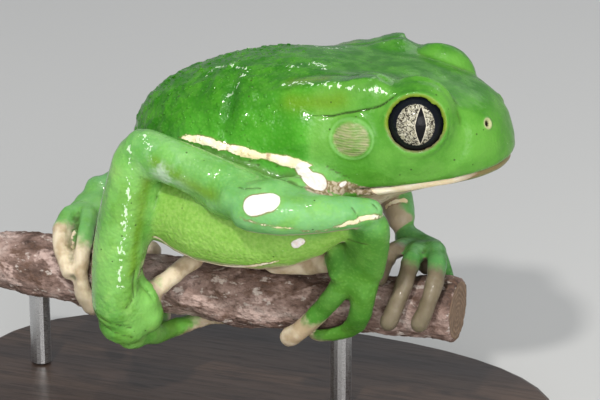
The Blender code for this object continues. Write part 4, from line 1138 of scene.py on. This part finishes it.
def cutMaterial():
    made, tree, shader = newMaterial("cut wood", {"Roughness": 0.8})
    place = objectPlace(tree, (0.0, 1.0, 1.0))
    _, across, high = axesOf(tree, objectPlace(tree))
    high = plus(tree, high, -20.4 * mm)
    reach = maths(tree, "SQRT", plus(tree, times(tree, across, across), times(tree, high, high)))
    wobble = times(tree, noiseOf(tree, place, 4.0, 2.0), 1.6 * mm)
    rings = maths(tree, "SINE", times(tree, plus(tree, reach, wobble), 2 * math.pi / (0.75 * mm)))
    colour = blend(tree, ease(tree, rings, -0.6, 0.9), (0.19, 0.120, 0.072), (0.26, 0.170, 0.105))
    stains = noiseOf(tree, place, 0.9, 4.0)
    colour = blend(tree, ease(tree, stains, 0.4, 0.7, 0.0, 0.6), colour, (0.12, 0.075, 0.045))
    tree.links.new(colour, shader.inputs["Base Color"])
    bumps(tree, shader, ((rings, 0.05), (noiseOf(tree, place, 0.3, 2.0), 0.06)))
    return made


# Stand

def standMaterial():
    made, tree, shader = newMaterial("stained base wood", {"Coat Weight": 0.25, "Coat Roughness": 0.25})
    place = objectPlace(tree, (0.10, 1.0, 1.0))
    bend = noiseOf(tree, place, 9.0, 2.0)
    grain = noiseOf(tree, place, 0.9, 5.0, 0.7, 0.4)
    colour = blend(tree, ease(tree, bend, 0.35, 0.65), (0.035, 0.020, 0.013), (0.070, 0.040, 0.024))
    colour = blend(tree, ease(tree, grain, 0.45, 0.65, 0.0, 0.7), colour, (0.018, 0.011, 0.008))
    tree.links.new(colour, shader.inputs["Base Color"])
    tree.links.new(ease(tree, grain, 0.3, 0.7, 0.34, 0.5), shader.inputs["Roughness"])
    bumps(tree, shader, ((grain, 0.06),))
    return made


def steelMaterial():
    made, tree, shader = newMaterial("brushed rod", {"Metallic": 1.0})
    brush = noiseOf(tree, objectPlace(tree, (1.0, 1.0, 9.0)), 0.5, 3.0)
    tree.links.new(blend(tree, brush, (0.42, 0.42, 0.43), (0.62, 0.62, 0.62)), shader.inputs["Base Color"])
    tree.links.new(ease(tree, brush, 0.3, 0.7, 0.24, 0.42), shader.inputs["Roughness"])
    bumps(tree, shader, ((brush, 0.01),))
    return made


def dressStand():
    wood, steel = standMaterial(), steelMaterial()
    for name, material in (("stand_base", wood), ("stand_rod_front", steel), ("stand_rod_rear", steel)):
        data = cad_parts[name].data
        data.materials.clear()
        data.materials.append(material)
    print("stand: dressed")


# Floor, light and camera

views = {"azimuth": 20.0, "elevation": 20.0, "distance": 380.0, "target": (7.5, 0.0, 34.4), "lens": 164.16}
lamps = (  # name, place from the target in metres, size, watts and tint
    ("key", (0.035, -0.500, 0.500), 0.05, 2.9, (1.0, 0.98, 0.95)),
    ("high", (0.066, -0.200, 0.680), 0.03, 1.3, (1.0, 0.99, 0.97)),
    ("low key", (0.260, -0.620, 0.240), 0.50, 1.6, (1.0, 0.98, 0.96)),
    ("front fill", (0.520, -0.560, 0.240), 0.50, 2.4, (1.0, 0.99, 0.97)),
    ("rim", (0.10, 0.50, 0.45), 0.45, 0.6, (1.0, 1.0, 1.0)),
)


def makeStudio():
    material, _, _ = newMaterial("studio floor", {"Base Color": (0.52, 0.52, 0.51), "Roughness": 0.7})
    corners = [(-3000, -3000, 0), (3000, -3000, 0), (3000, 3000, 0), (-3000, 3000, 0)]
    meshObject("studio_floor", corners, [(0, 1, 2, 3)], material, False)
    world = bpy.data.worlds.new("studio air")
    world.use_nodes = True
    world.node_tree.nodes["Background"].inputs["Color"].default_value = (0.80, 0.84, 0.90, 1.0)
    world.node_tree.nodes["Background"].inputs["Strength"].default_value = 0.40
    bpy.context.scene.world = world
    bpy.context.scene.view_settings.view_transform = "Standard"
    target = Vector(views["target"]) * mm
    for name, offset, size, watts, tint in lamps:
        data = bpy.data.lights.new(name, "AREA")
        data.shape = "DISK"
        data.size = size
        data.energy = watts
        data.color = tint
        lamp = bpy.data.objects.new(name, data)
        bpy.context.collection.objects.link(lamp)
        lamp.location = target + Vector(offset)
        lamp.rotation_euler = (-Vector(offset)).to_track_quat("-Z", "Y").to_euler()


def makeCamera():
    turn, lift = math.radians(views["azimuth"]), math.radians(views["elevation"])
    back = Vector((math.sin(turn) * math.cos(lift), -math.cos(turn) * math.cos(lift), math.sin(lift)))
    data = bpy.data.cameras.new("camera")
    data.lens = views["lens"]
    data.sensor_width = 36.0
    data.sensor_fit = "HORIZONTAL"
    data.clip_start = 0.01
    camera = bpy.data.objects.new("camera", data)
    bpy.context.collection.objects.link(camera)
    camera.location = (Vector(views["target"]) + back * views["distance"]) * mm
    camera.rotation_euler = (-back).to_track_quat("-Z", "Y").to_euler()
    bpy.context.scene.camera = camera


makeCamera()
makeStudio()
waxy = skinMaterial()
frogSkin = makeSkin(waxy)
scatter("skin_warts", frogSkin, "warty", 0.32, waxy, wartSizes)
for eyeSide in (-1, 1):
    makeEye(eyeSide, eyeMaterial())
print("eyes: done")
makeBranch(barkMaterial(), cutMaterial())
dressStand()
